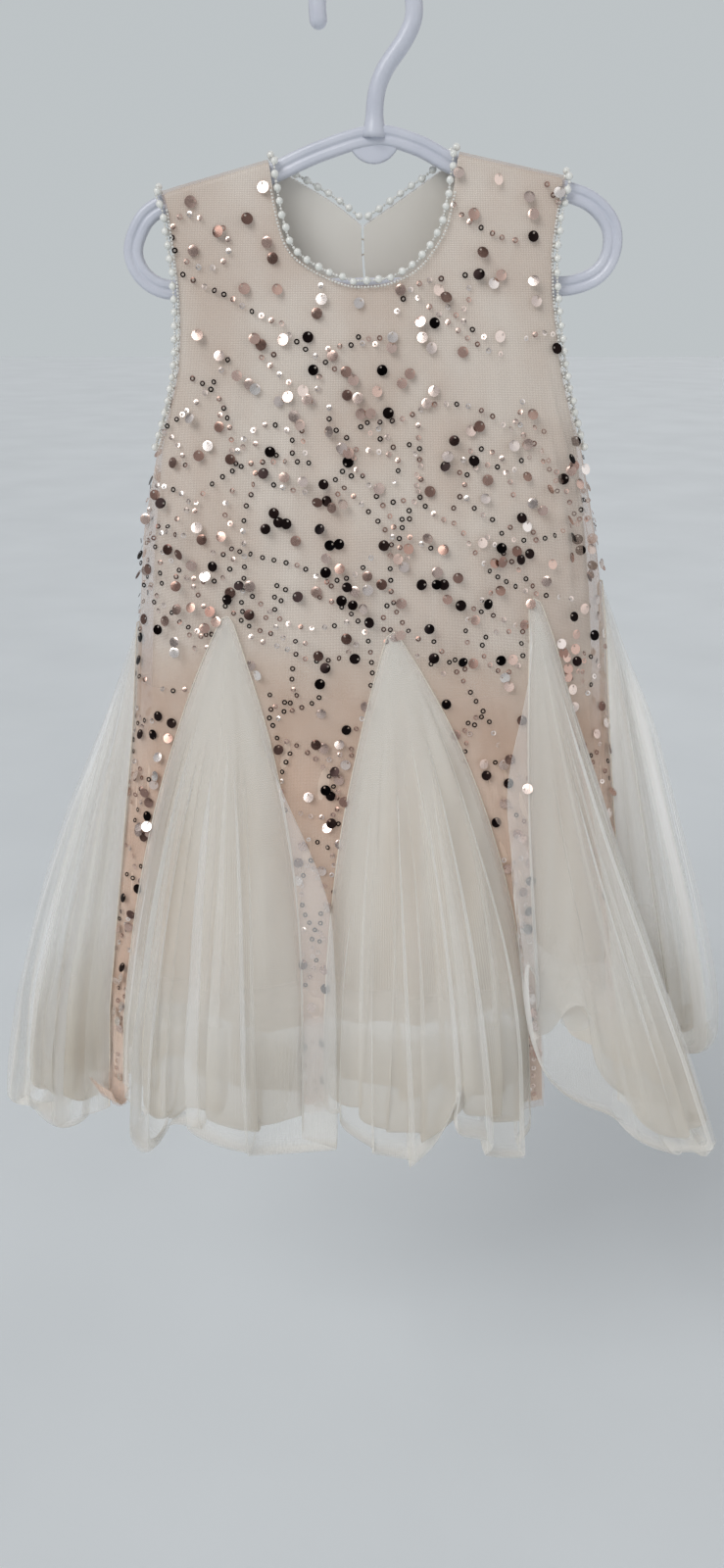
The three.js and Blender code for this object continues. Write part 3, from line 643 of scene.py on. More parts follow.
def plastic_material():
    finish = Finish("hanger_plastic", srgb(232, 235, 246), 0.34, Coat_Weight=0.15)
    color = finish.ramp(finish.noise(35, 3), (0.35, srgb(210, 214, 226)), (0.7, srgb(222, 225, 235)))
    return finish.into(Base_Color=color, Normal=finish.bump(finish.noise(900, 2), 0.06, 0.1))


def thread_material(name, color):
    finish = Finish(name, color, 0.6, Sheen_Weight=0.3)
    color = finish.ramp(finish.noise(1500, 1), (0.35, lighter(color, 0.82)), (0.6, color))
    return finish.into(Base_Color=color)


NET = net_material()
BACKING = backing_material()
LINING = lining_material()
# The middle and inner layers are the same ivory tulle, coloured a little darker and warmer as painted shade
# inside the godets
TULLE = [
    tulle_material("ivory_tulle_outer", srgb(251, 251, 248), 0.2, 0.62, 0.2, 0.03),
    tulle_material("ivory_tulle_middle", srgb(247, 245, 238), 0.21, 0.26, 0.6, 0.24),
    tulle_material("ivory_tulle_inner", srgb(241, 234, 222), 0.27, 0.0, 0.85, 0.52),
]
SEQUIN = sequin_material()
PEARL = bead_material("pearl_lustre", srgb(250, 250, 245), srgb(238, 240, 234), 0.2)
BEAD = bead_material("silver_seed_bead", srgb(243, 243, 238), srgb(222, 221, 214), 0.22)
PLASTIC = plastic_material()
THREAD = thread_material("ivory_thread", srgb(238, 230, 216))


def dress_piece(obj, slot, *nodes):
    """A finished piece: it hangs with the part. slot is not used."""
    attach(obj, "root")
    if nodes:
        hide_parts(*nodes)
    return obj


def cut_size(points):
    """Width and length of the flat cut that a grid of points was, and its area, in metres."""
    rows = np.linalg.norm(np.diff(points, axis=1), axis=2).sum(axis=1)
    columns = np.linalg.norm(np.diff(points, axis=0), axis=2).sum(axis=0)
    a, b, c, d = points[:-1, :-1], points[1:, :-1], points[1:, 1:], points[:-1, 1:]
    area = np.linalg.norm(np.cross(c - a, d - b), axis=2).sum() / 2
    return rows.max() * MM, columns.max() * MM, area * MM * MM


# Net panels

PANEL_SPLITS = 61
BODICE_SPLITS = 46
FLUTE = 1.1
EDGE_DROPS = (4, 7, 10)
CORNER_MARGIN = 0.15
CORNER_GAP = 0.12
SHOULDER_MARGIN = 0.001


def panel_columns(gore, step, back):
    """The angles of a panel's columns, with the corners of its top edge among them."""
    start, end = gore[:2]
    marks = list(np.linspace(start, end, max(4, int((end - start) / step)) + 1))
    edge = BACK_EDGE if back else FRONT_EDGE
    corners = angle_of(edge[1:-1, 0])
    corners = 360 - corners if back else corners
    for corner in corners:
        clear = np.min(np.abs(np.array(marks) - corner)) > CORNER_GAP
        if clear and start + CORNER_MARGIN < corner < end - CORNER_MARGIN:
            marks.append(corner)
    return np.array(sorted(marks))


def upper_levels(top, first, second, rows):
    """Levels from first millimetres under the top edge down to the armpit."""
    start = top - EDGE_DROPS[-1]
    levels = [top - first, top - second] + [top - drop for drop in EDGE_DROPS]
    return levels + [mix(start, ARMPIT_Z, share) for share in np.linspace(0, 1, rows + 1)[1:]]


def meet_at_shoulder(points, angles, back):
    """Brings the top rows of front and back together on the shoulders, and tells which columns lie there."""
    across = across_of(angles)
    shoulder = (across <= NECK_LEFT + SHOULDER_MARGIN) | (across >= NECK_RIGHT - SHOULDER_MARGIN)
    points[0, :, 1] = np.where(shoulder, (1 if back else -1) * SEAM_GAP, points[0, :, 1])
    return shoulder


def open_slit(points, angles, side, more=0):
    """Moves the column at the centre back aside, more millimetres besides the slit's own width."""
    centre = np.abs(angles - SLIT_ANGLE) < 0.001
    half = SEAM_GAP + SLIT_GAP / 2 * clamp01((points[:, centre, 2] - SLIT_BOTTOM) / SLIT_TAPER)
    points[:, centre, 0] += side * (half + more)


def bodice(angles, back):
    """Points of a gore's upper part, a row for each level, from the top edge to the godets' points."""
    levels = upper_levels(top_level(angles, back), 0, SHOULDER_BEND, BODICE_SPLITS)
    low = apex_level(angles)
    levels += [mix(ARMPIT_Z, low, share) for share in np.linspace(0, 1, BODICE_SPLITS // 2 + 1)[1:]]
    points = body_point(angles[None], np.array(levels), NET_LIFT, NET_FOLDS)
    points[0, :, 2] += np.where(meet_at_shoulder(points, angles, back), NET_LIFT, 0)
    return points


# The first strip's net is longer, and its end rolls up from a level, by a radius and up to a turn in radians.
# Over a length it rises and moves aside, and what is left past the roll hangs down by a share
ROLLED = 34
ROLL_START, ROLL_RADIUS, ROLL_TURN, ROLL_EASE = -700, 6.5, 4.4, 28
ROLL_RISE, ROLL_ASIDE, ROLL_LEFT = 5, 9, 0.2


def strip_end(gore):
    return gore[4] - (ROLLED if gore is GORES[0] else 0)


def curl(gore, points):
    """Rolls the lower end of the first strip forward and to the left, as its raw hem curls."""
    if gore is not GORES[0]:
        return points
    x, y, z = np.moveaxis(points, -1, 0)
    below = np.maximum(0, ROLL_START - z)
    turn = np.minimum(below / ROLL_RADIUS, ROLL_TURN)
    spare = below - turn * ROLL_RADIUS
    share = clamp01(below / ROLL_EASE)
    height = ROLL_START - ROLL_RADIUS * np.sin(turn) - spare * ROLL_LEFT + ROLL_RISE * share
    forward = ROLL_RADIUS * (1 - np.cos(turn)) * (0.7 + 0.3 * share)
    rolled_y = np.where(below > 0, y - forward, y)
    rolled_z = np.where(below > 0, height, z)
    return np.stack([x - ROLL_ASIDE * share ** 1.5, rolled_y, rolled_z], axis=-1)


def net_panel(name, width, length, back, side, node):
    points, faces, uv = [], [], []
    area = total = 0
    for gore in (gore for gore, panel in zip(GORES, PANELS) if panel == name):
        angles = panel_columns(gore, 1.5, back)
        apex = apex_level(angles)
        upper = bodice(angles, back)
        open_slit(upper, angles, side)
        levels = mix(apex[None], strip_end(gore), np.linspace(0, 1, PANEL_SPLITS + 1)[1:, None])
        turned = strip_angle(gore, angles[None], levels)
        waves = FLUTE * ripple(int(gore[2]), turned, levels, 6, 60) * clamp01((apex - levels) / 120)
        grid = np.concatenate([upper, curl(gore, body_point(turned, levels, NET_LIFT + waves))])
        faces.append(grid_faces(*grid.shape[:2], start=total))
        total += grid.shape[0] * grid.shape[1]
        points.append(grid.reshape(-1, 3))
        uv.append(grid[..., [0, 2]].reshape(-1, 2))
        area += cut_size(grid)[2]
    obj = mesh_object(name, np.vstack(points), faces, NET, uv=np.vstack(uv))
    dress_piece(merge_points(obj, 0.02), "net", node)
    return obj, (width, length, area)


HUNG = [
    net_panel("net_front", 0.47, 0.61, False, 0, "front_body"),
    net_panel("net_back_right", 0.3, 0.61, True, 1, "back_body_right"),
    net_panel("net_back_left", 0.3, 0.61, True, -1, "back_body_left"),
]

# Nude backing behind each strip, from a little below the godets' points
BACKING_MARGIN, BACKING_DROP, BACKING_LOW, BACKING_LIFT = 0.06, 14, 5, -0.6

for number, gore in enumerate(GORES):
    ends = [mix(gore[0], gore[1], share) for share in (BACKING_MARGIN, 1 - BACKING_MARGIN)]
    angles = np.linspace(*ends, 14)
    first = apex_level(angles)[None] - BACKING_DROP
    levels = mix(first, strip_end(gore) + BACKING_LOW, np.linspace(0, 1, 60)[:, None])
    grid = curl(gore, body_point(strip_angle(gore, angles[None], levels), levels, BACKING_LIFT))
    name = f"strip_backing_{number + 1}"
    piece = mesh_object(name, grid, grid_faces(*grid.shape[:2]), BACKING, uv=grid[..., [0, 2]])
    dress_piece(piece, "net")

# Lining: cut narrower than the net, from the neck and armholes to its own hem, which hangs in soft waves.
# How far it lies inside the net, and how far it reaches to the sides, at levels
LINING_INSET = ([-632, -338, -255, -90], [17, 2.2, 1.0, 0.9])
LINING_REACH = ([-632, -366, -300, -235], [3, 5, 4, 0])
HEM_WAVES_FROM, HEM_WAVE = -560, 4
LINING_FOLD, LINING_FOLDS_FROM = 3.2, -400


def lining_panel(name, first, last, back, side):
    angles = panel_columns((first, last), 2.0, back)
    levels = upper_levels(top_level(angles, back), 0.9, SHOULDER_BEND + 0.6, 40)
    levels += [mix(ARMPIT_Z, LINING_HEM, share) + 0 * angles for share in np.linspace(0, 1, 71)[1:]]
    levels = np.array(levels)
    points = body_point(angles[None], levels, -np.interp(levels, *LINING_INSET))
    points[..., 0] += np.interp(levels, *LINING_REACH) * np.cos(np.radians(angles[None])) ** 3
    meet_at_shoulder(points, angles, back)
    x, z = points[..., 0], points[..., 2]
    wrinkle = ripple(int(first) + 3, x, z, 60, 150) * 0.9
    deep = LINING_FOLD * clamp01((LINING_FOLDS_FROM - levels) / 150)
    wrinkle += ripple(int(first) + 5, x, z, 34, 900) * deep
    wrinkle *= clamp01((ARMPIT_Z + 60 - levels) / 60)
    points[..., 1] += wrinkle * np.sin(np.radians(angles))[None] ** 2
    low = HEM_WAVE * clamp01((HEM_WAVES_FROM - levels) / (HEM_WAVES_FROM - LINING_HEM))
    points[..., 2] += low * np.sin(np.radians(angles) * 9 + 1) + low * np.sin(np.radians(angles) * 4)
    open_slit(points, angles, side, 0.2)
    obj = mesh_object(name, points, grid_faces(*points.shape[:2]), LINING, uv=points[..., [0, 2]])
    dress_piece(obj, "lining", "lining_back" if back else "lining_front")
    return obj, cut_size(points)


HUNG += [
    lining_panel("lining_front_cloth", 0, 180, False, 0),
    lining_panel("lining_back_right_cloth", 180.001, 270, True, 1),
    lining_panel("lining_back_left_cloth", 270, 360, True, -1),
]

# Godets in layers of tulle: how far each puffs out, how much shorter it is, how far its folds lie aside,
# how deep they are, how far its hem turns up inside it, and its grid
LAYERS = [
    dict(part="outer", bulge=0.84, short=0, shift=0.0, depth=1.0, rise=85, columns=230, rows=46),
    dict(part="middle", bulge=0.66, short=12, shift=0.055, depth=0.8, rise=45, columns=150, rows=36),
    dict(part="inner", bulge=0.42, short=30, shift=-0.035, depth=0.5, rise=0, columns=90, rows=26),
]
# A lap over a strip: how far in from the godet's edge, in shares of its width, how wide, over what share of
# the length it grows, and from how many millimetres the cloth folds over itself to make it
OVER_AT, OVER_WIDTH, OVER_GROWS, OVER_FROM = 0.13, 0.085, 0.45, 9
# The oval that tells which way is out of the skirt, and how steeply cloth stands before it counts as edge-on
SKIRT_HALF, SKIRT_DEPTH, EDGE_FROM = 190, 72, 0.5
# About how wide and long a godet is, for waves of the right size on it
WAVE_WIDE, WAVE_LONG = 120, 300
ROLL_STEPS, RISE_STEPS = 8, 14
LAYER_GAP = 0.4
NO_FADE = 9


def hem_level(godet, t):
    left, middle, right = godet["hem"]
    return mix(left, right, t) + (middle - (left + right) / 2) * np.sin(np.pi * t)


def godet_place(godet, t, s, lift, z, lateral, over):
    """A point of a godet, t across and s down it, pushed across by lateral widths and over millimetres."""
    before, after = (GORES[i] for i in godet["gores"])

    def edge(gore, angle, way):
        at = strip_angle(gore, angle, z)
        return at + way * LAP / mm_per_degree(at, z)

    turn = 360 if after[0] < before[1] - 1 else 0
    start = edge(before, before[1], -1)
    stop = edge(after, after[0], 1) + turn
    angle = mix(start, stop, t + lateral)
    angle = angle + over / mm_per_degree(np.mod(angle, 360), z)
    points = body_point(np.mod(angle, 360), z, lift)
    points[..., 0] += godet["sway"] * np.sin(np.pi * t ** SWAY_SKEW) * np.minimum(s, 1) ** 2
    return points


def edge_on(grid):
    """How far the cloth at each point of a grid stands edge-on to the outside, from 0 to 1."""
    normal = unit(np.cross(np.gradient(grid, axis=1), np.gradient(grid, axis=0)))
    out = unit(grid / (SKIRT_HALF ** 2, SKIRT_DEPTH ** 2, np.inf))
    return clamp01((EDGE_FROM - np.abs((normal * out).sum(axis=2))) / EDGE_FROM)


def fold_list(godet, layer, number, own):
    """The long folds of a layer from the godet's table, and a few small ones drawn for it."""
    folds = []
    for place, deep in godet["folds"]:
        folds.append(dict(at=place + layer["shift"], deep=deep * layer["depth"], fade=NO_FADE,
                          drift=own.normal(0, 0.03), width=own.uniform(0.045, 0.068),
                          lap=own.uniform(1.9, 2.7), start=own.uniform(0.0, 0.2)))
    for place in own.uniform(0.08, 0.92, 3 - number):
        folds.append(dict(at=place, drift=own.normal(0, 0.04), width=own.uniform(0.01, 0.018),
                          lap=own.uniform(1.2, 2.2), deep=own.choice([-1, 1]) * own.uniform(1.5, 3),
                          start=own.uniform(0, 0.5), fade=own.uniform(0.45, 1.4)))
    return folds


def godet_layer(godet, layer, number):
    """One layer of a godet. Gives its grid of points."""
    seed = sum(map(ord, godet["name"])) * 7 + number
    t = np.linspace(0, 1, layer["columns"] + 1)[None]
    s = np.linspace(0, 1, layer["rows"] + 1)[:, None] ** 0.9
    wide = t * WAVE_WIDE
    side = np.sin(np.pi * t) ** 0.35
    folds = fold_list(godet, layer, number, np.random.default_rng(seed))
    apex = godet["apex"] + LAP - 0.6 * number
    hem = hem_level(godet, t) + layer["short"] + 2.5 * ripple(seed + 1, wide, 0 * t, 45, 1) * side
    for place, rise, width in godet["tips"]:
        hem = hem + rise * np.exp(-((t - place - layer["shift"]) / width) ** 2) * (1 - 0.4 * number)

    def pleats(s_value):
        """How far the folds push the cloth across, in shares of the width, and out."""
        lateral, out = 0 * t * s_value, 0 * t * s_value
        for fold in folds:
            aside = (t - fold["at"] - fold["drift"] * (1 - s_value)) / fold["width"]
            grown = smooth_step((s_value - fold["start"]) / 0.25) * s_value ** 0.3
            grown = grown * smooth_step((fold["fade"] - s_value) / 0.3)
            lateral = lateral - fold["lap"] * fold["width"] * aside * np.exp(-aside ** 2) * grown
            out = out - fold["deep"] * aside * np.exp(-aside ** 2 / 2) * grown
            out = out + 0.3 * abs(fold["deep"]) * np.exp(-(aside / 2) ** 2) * grown
        return lateral * side, out * side

    def at(s_value, z, lift, lateral):
        """Points of the layer. Only the outer one laps over the strips."""
        shift, over = clamp01(t + lateral) - t, 0 * t
        laps = godet.get("over", NO_LAP) if number == 0 else ()
        for (reach, first), way, place in zip(laps, (-1, 1), (t, 1 - t)):
            grown = smooth_step((np.minimum(s_value, 1) - first) / OVER_GROWS)
            near = way * grown * np.exp(-((place - OVER_AT) / OVER_WIDTH) ** 2) * np.minimum(1, place / 0.05)
            shift = shift + near * OVER_AT * (reach > OVER_FROM)
            over = over + near * reach
        return godet_place(godet, t + 0 * z, s_value, lift, z, shift, over)

    def puff(s_value, out):
        """How far the layer stands out of the dress."""
        opened = 1 - (1 - s_value) ** GODET_EASE
        arch = np.sin(np.pi * t ** godet.get("lean", 1)) ** PUFF_ROUNDING
        small = 1.3 * s_value * ripple(seed, wide, s_value * WAVE_LONG, 26, 150) * side
        seam = LAP_LIFT - LAYER_GAP * number
        return np.maximum(seam + arch * godet["bulge"] * layer["bulge"] * opened + out + small, 0.6)

    lateral, out = pleats(s)
    top = apex + 3.5 * np.sin(np.pi * t) - 3.5
    rows = [at(s + 0 * t, mix(top, hem, s), puff(s, out), lateral)]
    if layer["rise"]:
        last = np.ones_like(t)
        lateral, out = pleats(last)
        hem_lift = puff(last, out)
        radius = np.minimum(TUCK_RADIUS, np.maximum(0.3, TUCK_SHARE * (hem_lift - TUCK_CLEAR)))
        radius = radius * (1 + 0.25 * ripple(seed + 4, wide, 0 * t, 30, 1))
        for roll in np.radians(np.linspace(15, 165, ROLL_STEPS)):
            inward = radius * (1 - math.cos(roll))
            rows.append(at(last, hem - radius * math.sin(roll) * 0.7, hem_lift - inward, lateral))
        rise = layer["rise"] * (1 + 0.2 * ripple(seed + 3, wide, 0 * t, 60, 1))
        for k in np.linspace(0, 1, RISE_STEPS + 1)[1:]:
            inner = (hem_lift - 2 * radius) * (1 - 0.5 * k)
            inner = inner + 2.6 * ripple(seed + 2, wide, k * 80, 20, 34, 8) * side * (1 - k * 0.3)
            rows.append(at(last, hem + rise * k, np.maximum(inner, 0.4), lateral * (1 - 0.6 * k)))
    grid = np.concatenate(rows)
    width = np.linalg.norm(np.diff(grid[layer["rows"]], axis=0), axis=1).sum()
    down = np.concatenate([[0], np.cumsum(np.linalg.norm(np.diff(grid, axis=0), axis=2).mean(axis=1))])
    uv = np.stack(np.broadcast_arrays(t * width, down[:, None]), axis=-1)
    name = f"godet_{godet['name']}_{layer['part']}"
    faces = grid_faces(*grid.shape[:2])
    obj = mesh_object(name, grid, faces, TULLE[number], uv=uv, tones=edge_on(grid).ravel())
    dress_piece(obj, "tulle", "godet_" + godet["name"])
    return grid


# Seams: a fine cord of turned edge along each godet
SEAM_OUT, SEAM_RADIUS, SEAM_STEP = 0.3, 0.42, 5


def seam_path(grid):
    left, right = grid[::2, 0], grid[::2, -1]
    arch = grid[0, ::10]
    path = np.vstack([left[::-1], arch[1:-1], right])
    path[:, 1] += np.sign(path[:, 1]) * SEAM_OUT
    return path


tulle = [[godet_layer(godet, layer, number) for number, layer in enumerate(LAYERS)] for godet in GODETS]
seams = []
for grid, *_ in tulle:
    run = resample(seam_path(grid[:LAYERS[0]["rows"] + 1]), SEAM_STEP)[0]
    seams.append(mesh_object("godet_seam", *tube(run, SEAM_RADIUS, 6), THREAD))
dress_piece(join("godet_seams", seams), "tulle")

# Sequins
PAILLETTE, RING = 3.25, 1.65
PAILLETTE_ROOM = PAILLETTE * 0.75
CHAINS, SINGLES = 470, 1150
CHAIN_LENGTHS = (4, 15)
CHAIN_STRIDES = (5.8, 7.8)
CHAIN_BEND, CHAIN_WANDER = 0.22, 0.08
CHAIN_ENDS, PAIRS = 0.4, 0.3
FIRST_ANGLE, LAST_ANGLE = 0.5, 359.5
DENSITY = ([95, 150, 230, 290, 340, 400, 470, 690], [0.3, 0.38, 0.55, 0.85, 1.0, 0.95, 0.75, 0.7])
# Share of sequins painted dark at each depth below the top: painted reflection of dark surroundings
DARK_REFLECTION_SHARE = ([95, 200, 270, 320, 400, 470, 690], [0.1, 0.16, 0.3, 0.48, 0.42, 0.25, 0.18])
DEGREE_MM = 2.6


def gore_at(angle):
    for gore in GORES:
        if gore[0] <= angle <= gore[1]:
            return gore
    return GORES[-1]


def net_place(angle, z):
    """A point on the net, above or below the godets' points."""
    turned = strip_angle(gore_at(angle), angle, z) if z < apex_level(angle) else angle
    return body_point(turned, z, NET_LIFT, NET_FOLDS)


def net_frame(angle, z):
    """The place on the net with the ways out of it, down it and across it, and millimetres for a degree."""
    here = net_place(angle, z)
    step = 0.4 if angle + 0.4 < gore_at(angle)[1] else -0.4
    across = (net_place(angle + step, z) - here) / step
    down = net_place(angle, z - 2) - here
    scale = np.linalg.norm(across)
    across = across / scale
    down -= across * down.dot(across)
    down /= np.linalg.norm(down)
    out = np.cross(down, across)
    if out.dot(here - np.array([0, 0, z])) < 0:
        out = -out
    return here, out, down, across, scale


def wanted_density(angle, z):
    """How thickly the sequins lie, from 0 to 1: thin at the shoulders, thickest about the hip."""
    return np.interp(-z, *DENSITY) * (0.8 if angle > 180 else 1.0)


class Scatter:
    """Places taken on the net, so that no two sequins share one."""

    def __init__(self):
        self.places = np.zeros((0, 3))
        self.rooms = np.zeros(0)

    def free(self, place, room):
        return bool(np.all(np.linalg.norm(self.places - place, axis=1) > self.rooms + room))

    def take(self, place, room):
        self.places = np.vstack([self.places, place])
        self.rooms = np.append(self.rooms, room)


paillettes, rings = [], []
taken = Scatter()


def inside(angle, z, margin):
    """Whether a place lies on the net, margin millimetres in from its edges."""
    gore = gore_at(angle)
    if not gore[4] + 6 < z < float(top_level(np.array([angle]), angle > 180)[0]) - margin:
        return False
    if z < apex_level(angle) - 6:
        return min(angle - gore[0], gore[1] - angle) * net_frame(angle, z)[4] > margin
    side = min(angle % 180, 180 - angle % 180)
    if z > ARMPIT_Z and side * mm_per_degree(angle, z) < margin:
        return False
    return not (z > SLIT_BOTTOM - 10 and abs(angle - SLIT_ANGLE) * mm_per_degree(angle, z) < margin + 2)


def reflection_tone_at(z, x):
    """A sequin's tone of painted reflection: darker about the hip, paler on the upper bodice and towards the
    right.
    """
    dark = np.interp(-z, *DARK_REFLECTION_SHARE) * (1 - 0.35 * clamp01(x / 150))
    draw = rng.uniform()
    if draw < dark:
        return rng.uniform(0.0, 0.24)
    if draw < dark + 0.22:
        return rng.uniform(0.3, 0.55)
    return rng.uniform(0.55, 1.0)


def keep(kept, framed, z, room):
    """Adds a sequin at a place with its ways."""
    kept.append((*framed[:4], reflection_tone_at(z, framed[0][0])))
    taken.take(framed[0], room)


def random_place():
    while True:
        z = rng.uniform(-690, -98)
        angle = rng.uniform(FIRST_ANGLE, LAST_ANGLE)
        if rng.uniform() < wanted_density(angle, z) and rng.uniform() < mm_per_degree(angle, z) / DEGREE_MM:
            if z > apex_level(angle) or rng.uniform() < 0.5:
                return angle, z


def place_paillette(angle, z):
    framed = net_frame(angle, z)
    if inside(angle, z, 4) and taken.free(framed[0], PAILLETTE_ROOM):
        keep(paillettes, framed, z, PAILLETTE_ROOM)


def place_chain():
    """A run of small rings on a curved line, now and then with a large sequin at its end."""
    angle, z = random_place()
    if not inside(angle, z, 3):
        return
    heading = rng.uniform(0, 2 * np.pi)
    bend = rng.normal(0, CHAIN_BEND)
    for _ in range(int(rng.integers(*CHAIN_LENGTHS))):
        framed = net_frame(angle, z)
        if not taken.free(framed[0], RING):
            break
        keep(rings, framed, z, RING)
        stride = rng.uniform(*CHAIN_STRIDES)
        heading += bend + rng.normal(0, CHAIN_WANDER)
        next_angle = angle + stride * math.cos(heading) / max(framed[4], 0.2)
        next_z = z - stride * math.sin(heading)
        if not FIRST_ANGLE < next_angle < LAST_ANGLE:
            break
        if gore_at(next_angle) is not gore_at(angle) and next_z < apex_level(angle):
            break
        if not inside(next_angle, next_z, 3):
            break
        angle, z = next_angle, next_z
    if rng.uniform() < CHAIN_ENDS and inside(angle, z - 6, 4):
        place_paillette(angle, z - 6)


def place_single():
    """A large sequin, now and then with another beside it."""
    angle, z = random_place()
    place_paillette(angle, z)
    if rng.uniform() < PAIRS and z < -150:
        spread = rng.uniform(5, 8)
        beside = angle + rng.choice([-1, 1]) * spread / DEGREE_MM
        place_paillette(min(max(beside, FIRST_ANGLE), LAST_ANGLE), z - rng.uniform(0, 6))


for _ in range(CHAINS):
    place_chain()
for _ in range(SINGLES):
    place_single()


def tilted(place, spread, hang, lift, drop):
    """Places and axes for sequins, each tipped and turned a little as it hangs from its stitch."""
    here, out, down, across, _ = place
    spin = rng.normal(0, 0.7)
    tip = abs(rng.normal(0, spread)) + hang
    roll = rng.normal(0, spread)
    up = -down * math.cos(spin) + across * math.sin(spin)
    side = np.cross(up, out)
    tipped = out * math.cos(tip) + up * math.sin(tip)
    up_axis = up * math.cos(tip) - out * math.sin(tip)
    out_axis = tipped * math.cos(roll) + side * math.sin(roll)
    side_axis = side * math.cos(roll) - tipped * math.sin(roll)
    rise = lift * (abs(math.sin(tip)) + abs(math.sin(roll))) + 0.55
    centre = here + out * rise - up_axis * drop
    return centre, np.stack([side_axis, up_axis, out_axis], axis=-1)


# Each kind of sequin: its places and shape, how unevenly and how far it tips, its reach, its stitch's height
SEQUINS = [
    ("paillettes", paillettes, disc(PAILLETTE, 0.62, 1.9, 0.1, 0.14, 16, 8), 0.2, 0.04, PAILLETTE, 1.2),
    ("ring_sequins", rings, disc(RING, 0.78, 0, 0.06, 0.12, 10, 10), 0.18, 0.02, RING, 0),
]
for face_name, in_front in (("front", True), ("back", False)):
    for kind, places, shape, spread, hang, reach, drop in SEQUINS:
        places = [place for place in places if (place[0][1] < 0) == in_front]
        centres, frames = zip(*(tilted(place, spread, hang, reach, drop) for place in places))
        tones = np.array([place[4] for place in places])
        sizes = rng.uniform(0.94, 1.04, len(places))
        name = f"{kind}_{face_name}"
        piece = many(name, shape, centres, np.array(frames), sizes, SEQUIN, tones=tones, smooth=False)
        dress_piece(piece, "sequin")

# Pearl edgings
NECK_CENTRE = np.array([0, 0, -112.0])
NECK_SKIP = 0.006
SLIT_LEFT, SLIT_RIGHT = 0.488, 0.512
# Where the pearls cross the shoulder: inward, to the front or back, and up from the shoulder's corner
FRONT_CROSSING = [(1.9, 0.6, 2.4), (2.9, 4.2, 1.7), (3.9, 7.4, -2.6)]
BACK_CROSSING = [(1.9, 0.6, 2.4), (2.5, 4.4, 2.2), (4.4, 7.6, -0.3)]
ARMHOLE_CROSSING = [(1.9, 0, 2.4), (2.6, 4.4, 1.7), (3, 7.4, -2.6)]


def beside_edge(points, towards, off):
    """Points off millimetres to one side of a run of points, in the plane of the front."""
    ahead = np.gradient(points, axis=0)
    aside = unit(np.stack([-ahead[:, 2], 0 * ahead[:, 0], ahead[:, 0]], axis=-1))
    flip = np.sign(np.sum(aside * (towards - points), axis=1, keepdims=True))
    return points + aside * flip * off


def neck_edge(table, back, start, stop, off):
    rows = table[(table[:, 0] > start) & (table[:, 0] < stop)]
    angles = angle_of(rows[:, 0])
    points = body_point(360 - angles if back else angles, rows[:, 1])
    return beside_edge(points, NECK_CENTRE, off)


def over_shoulder(crossing, across, inward, face):
    x0, _, z0 = body_point(angle_of(across), np.interp(across, FRONT_TOP[:, 0], FRONT_TOP[:, 1]))
    return np.array([[x0 + inward * x, face * y, z0 + z] for x, y, z in crossing])


def armhole_half(side, off):
    top = FRONT_TOP[0 if side < 0 else -1][1]
    levels = np.linspace(ARMPIT_Z, top - 10, 24)
    run = body_point(0.0 if side < 0 else 180.0, levels)
    run[:, 0] += side * off
    run[:, 1] = np.minimum(run[:, 1], -2.3)
    return run


def armhole_run(side):
    over = over_shoulder(ARMHOLE_CROSSING, 0.0 if side < 0 else 1.0, side, -1)[::-1]
    half = np.vstack([armhole_half(side, TRIM_OFF), over])
    return np.vstack([half, half[:-1][::-1] * (1, -1, 1)])


def frames_along(ahead):
    """A frame for each bead, its third axis along the string."""
    first = square_to(ahead)
    return np.stack([first, np.cross(ahead, first), ahead], axis=-1)


def seed_beads(name, runs, smallest, largest):
    """Seed beads along runs of places and ways."""
    places, ways = (np.vstack(part) for part in zip(*runs))
    sizes = rng.uniform(smallest, largest, len(places))
    dress_piece(many(name, seed_ball, places, frames_along(ways), sizes, BEAD), "pearl")


EDGINGS = {
    "neck_front": np.vstack([
        over_shoulder(FRONT_CROSSING, NECK_LEFT, 1, -1),
        neck_edge(FRONT_EDGE, False, NECK_LEFT + NECK_SKIP, NECK_RIGHT - NECK_SKIP, TRIM_OFF),
        over_shoulder(FRONT_CROSSING, NECK_RIGHT, -1, -1)[::-1],
    ]),
    "neck_back_left": np.vstack([
        over_shoulder(BACK_CROSSING, NECK_LEFT, 1, 1),
        neck_edge(BACK_EDGE, True, NECK_LEFT + NECK_SKIP, SLIT_LEFT, TRIM_OFF),
    ]),
    "neck_back_right": np.vstack([
        neck_edge(BACK_EDGE, True, SLIT_RIGHT, NECK_RIGHT - NECK_SKIP, TRIM_OFF),
        over_shoulder(BACK_CROSSING, NECK_RIGHT, -1, 1)[::-1],
    ]),
    "armhole_left": armhole_run(-1),
    "armhole_right": armhole_run(1),
}
PEARL_GAP = 7.2
SEEDS_BETWEEN = 3
pearl_ball = ball(10, 14)
seed_ball = ball(5, 8)
seeds = []
for name, run in EDGINGS.items():
    at, ahead = resample(run, PEARL_GAP)
    at = at + rng.normal(0, 0.25, at.shape)
    sizes = rng.uniform(2.02, 2.24, len(at))
    node = name.replace("neck", "neck_trim").replace("armhole", "armhole_trim")
    dress_piece(many("pearls_" + name, pearl_ball, at, frames_along(ahead), sizes, PEARL), "pearl", node)
    fine, fine_ahead = resample(run, PEARL_GAP / (SEEDS_BETWEEN + 1))
    between = np.arange(len(fine)) % (SEEDS_BETWEEN + 1) != 0
    seeds.append((fine[between], fine_ahead[between]))
seed_beads("edging_seed_beads", seeds, 0.72, 0.92)

# A line of seed beads on the cloth beside each edge
LINE_OFF, LINE_LIFT, LINE_GAP = 1.0, 1.2, 1.9


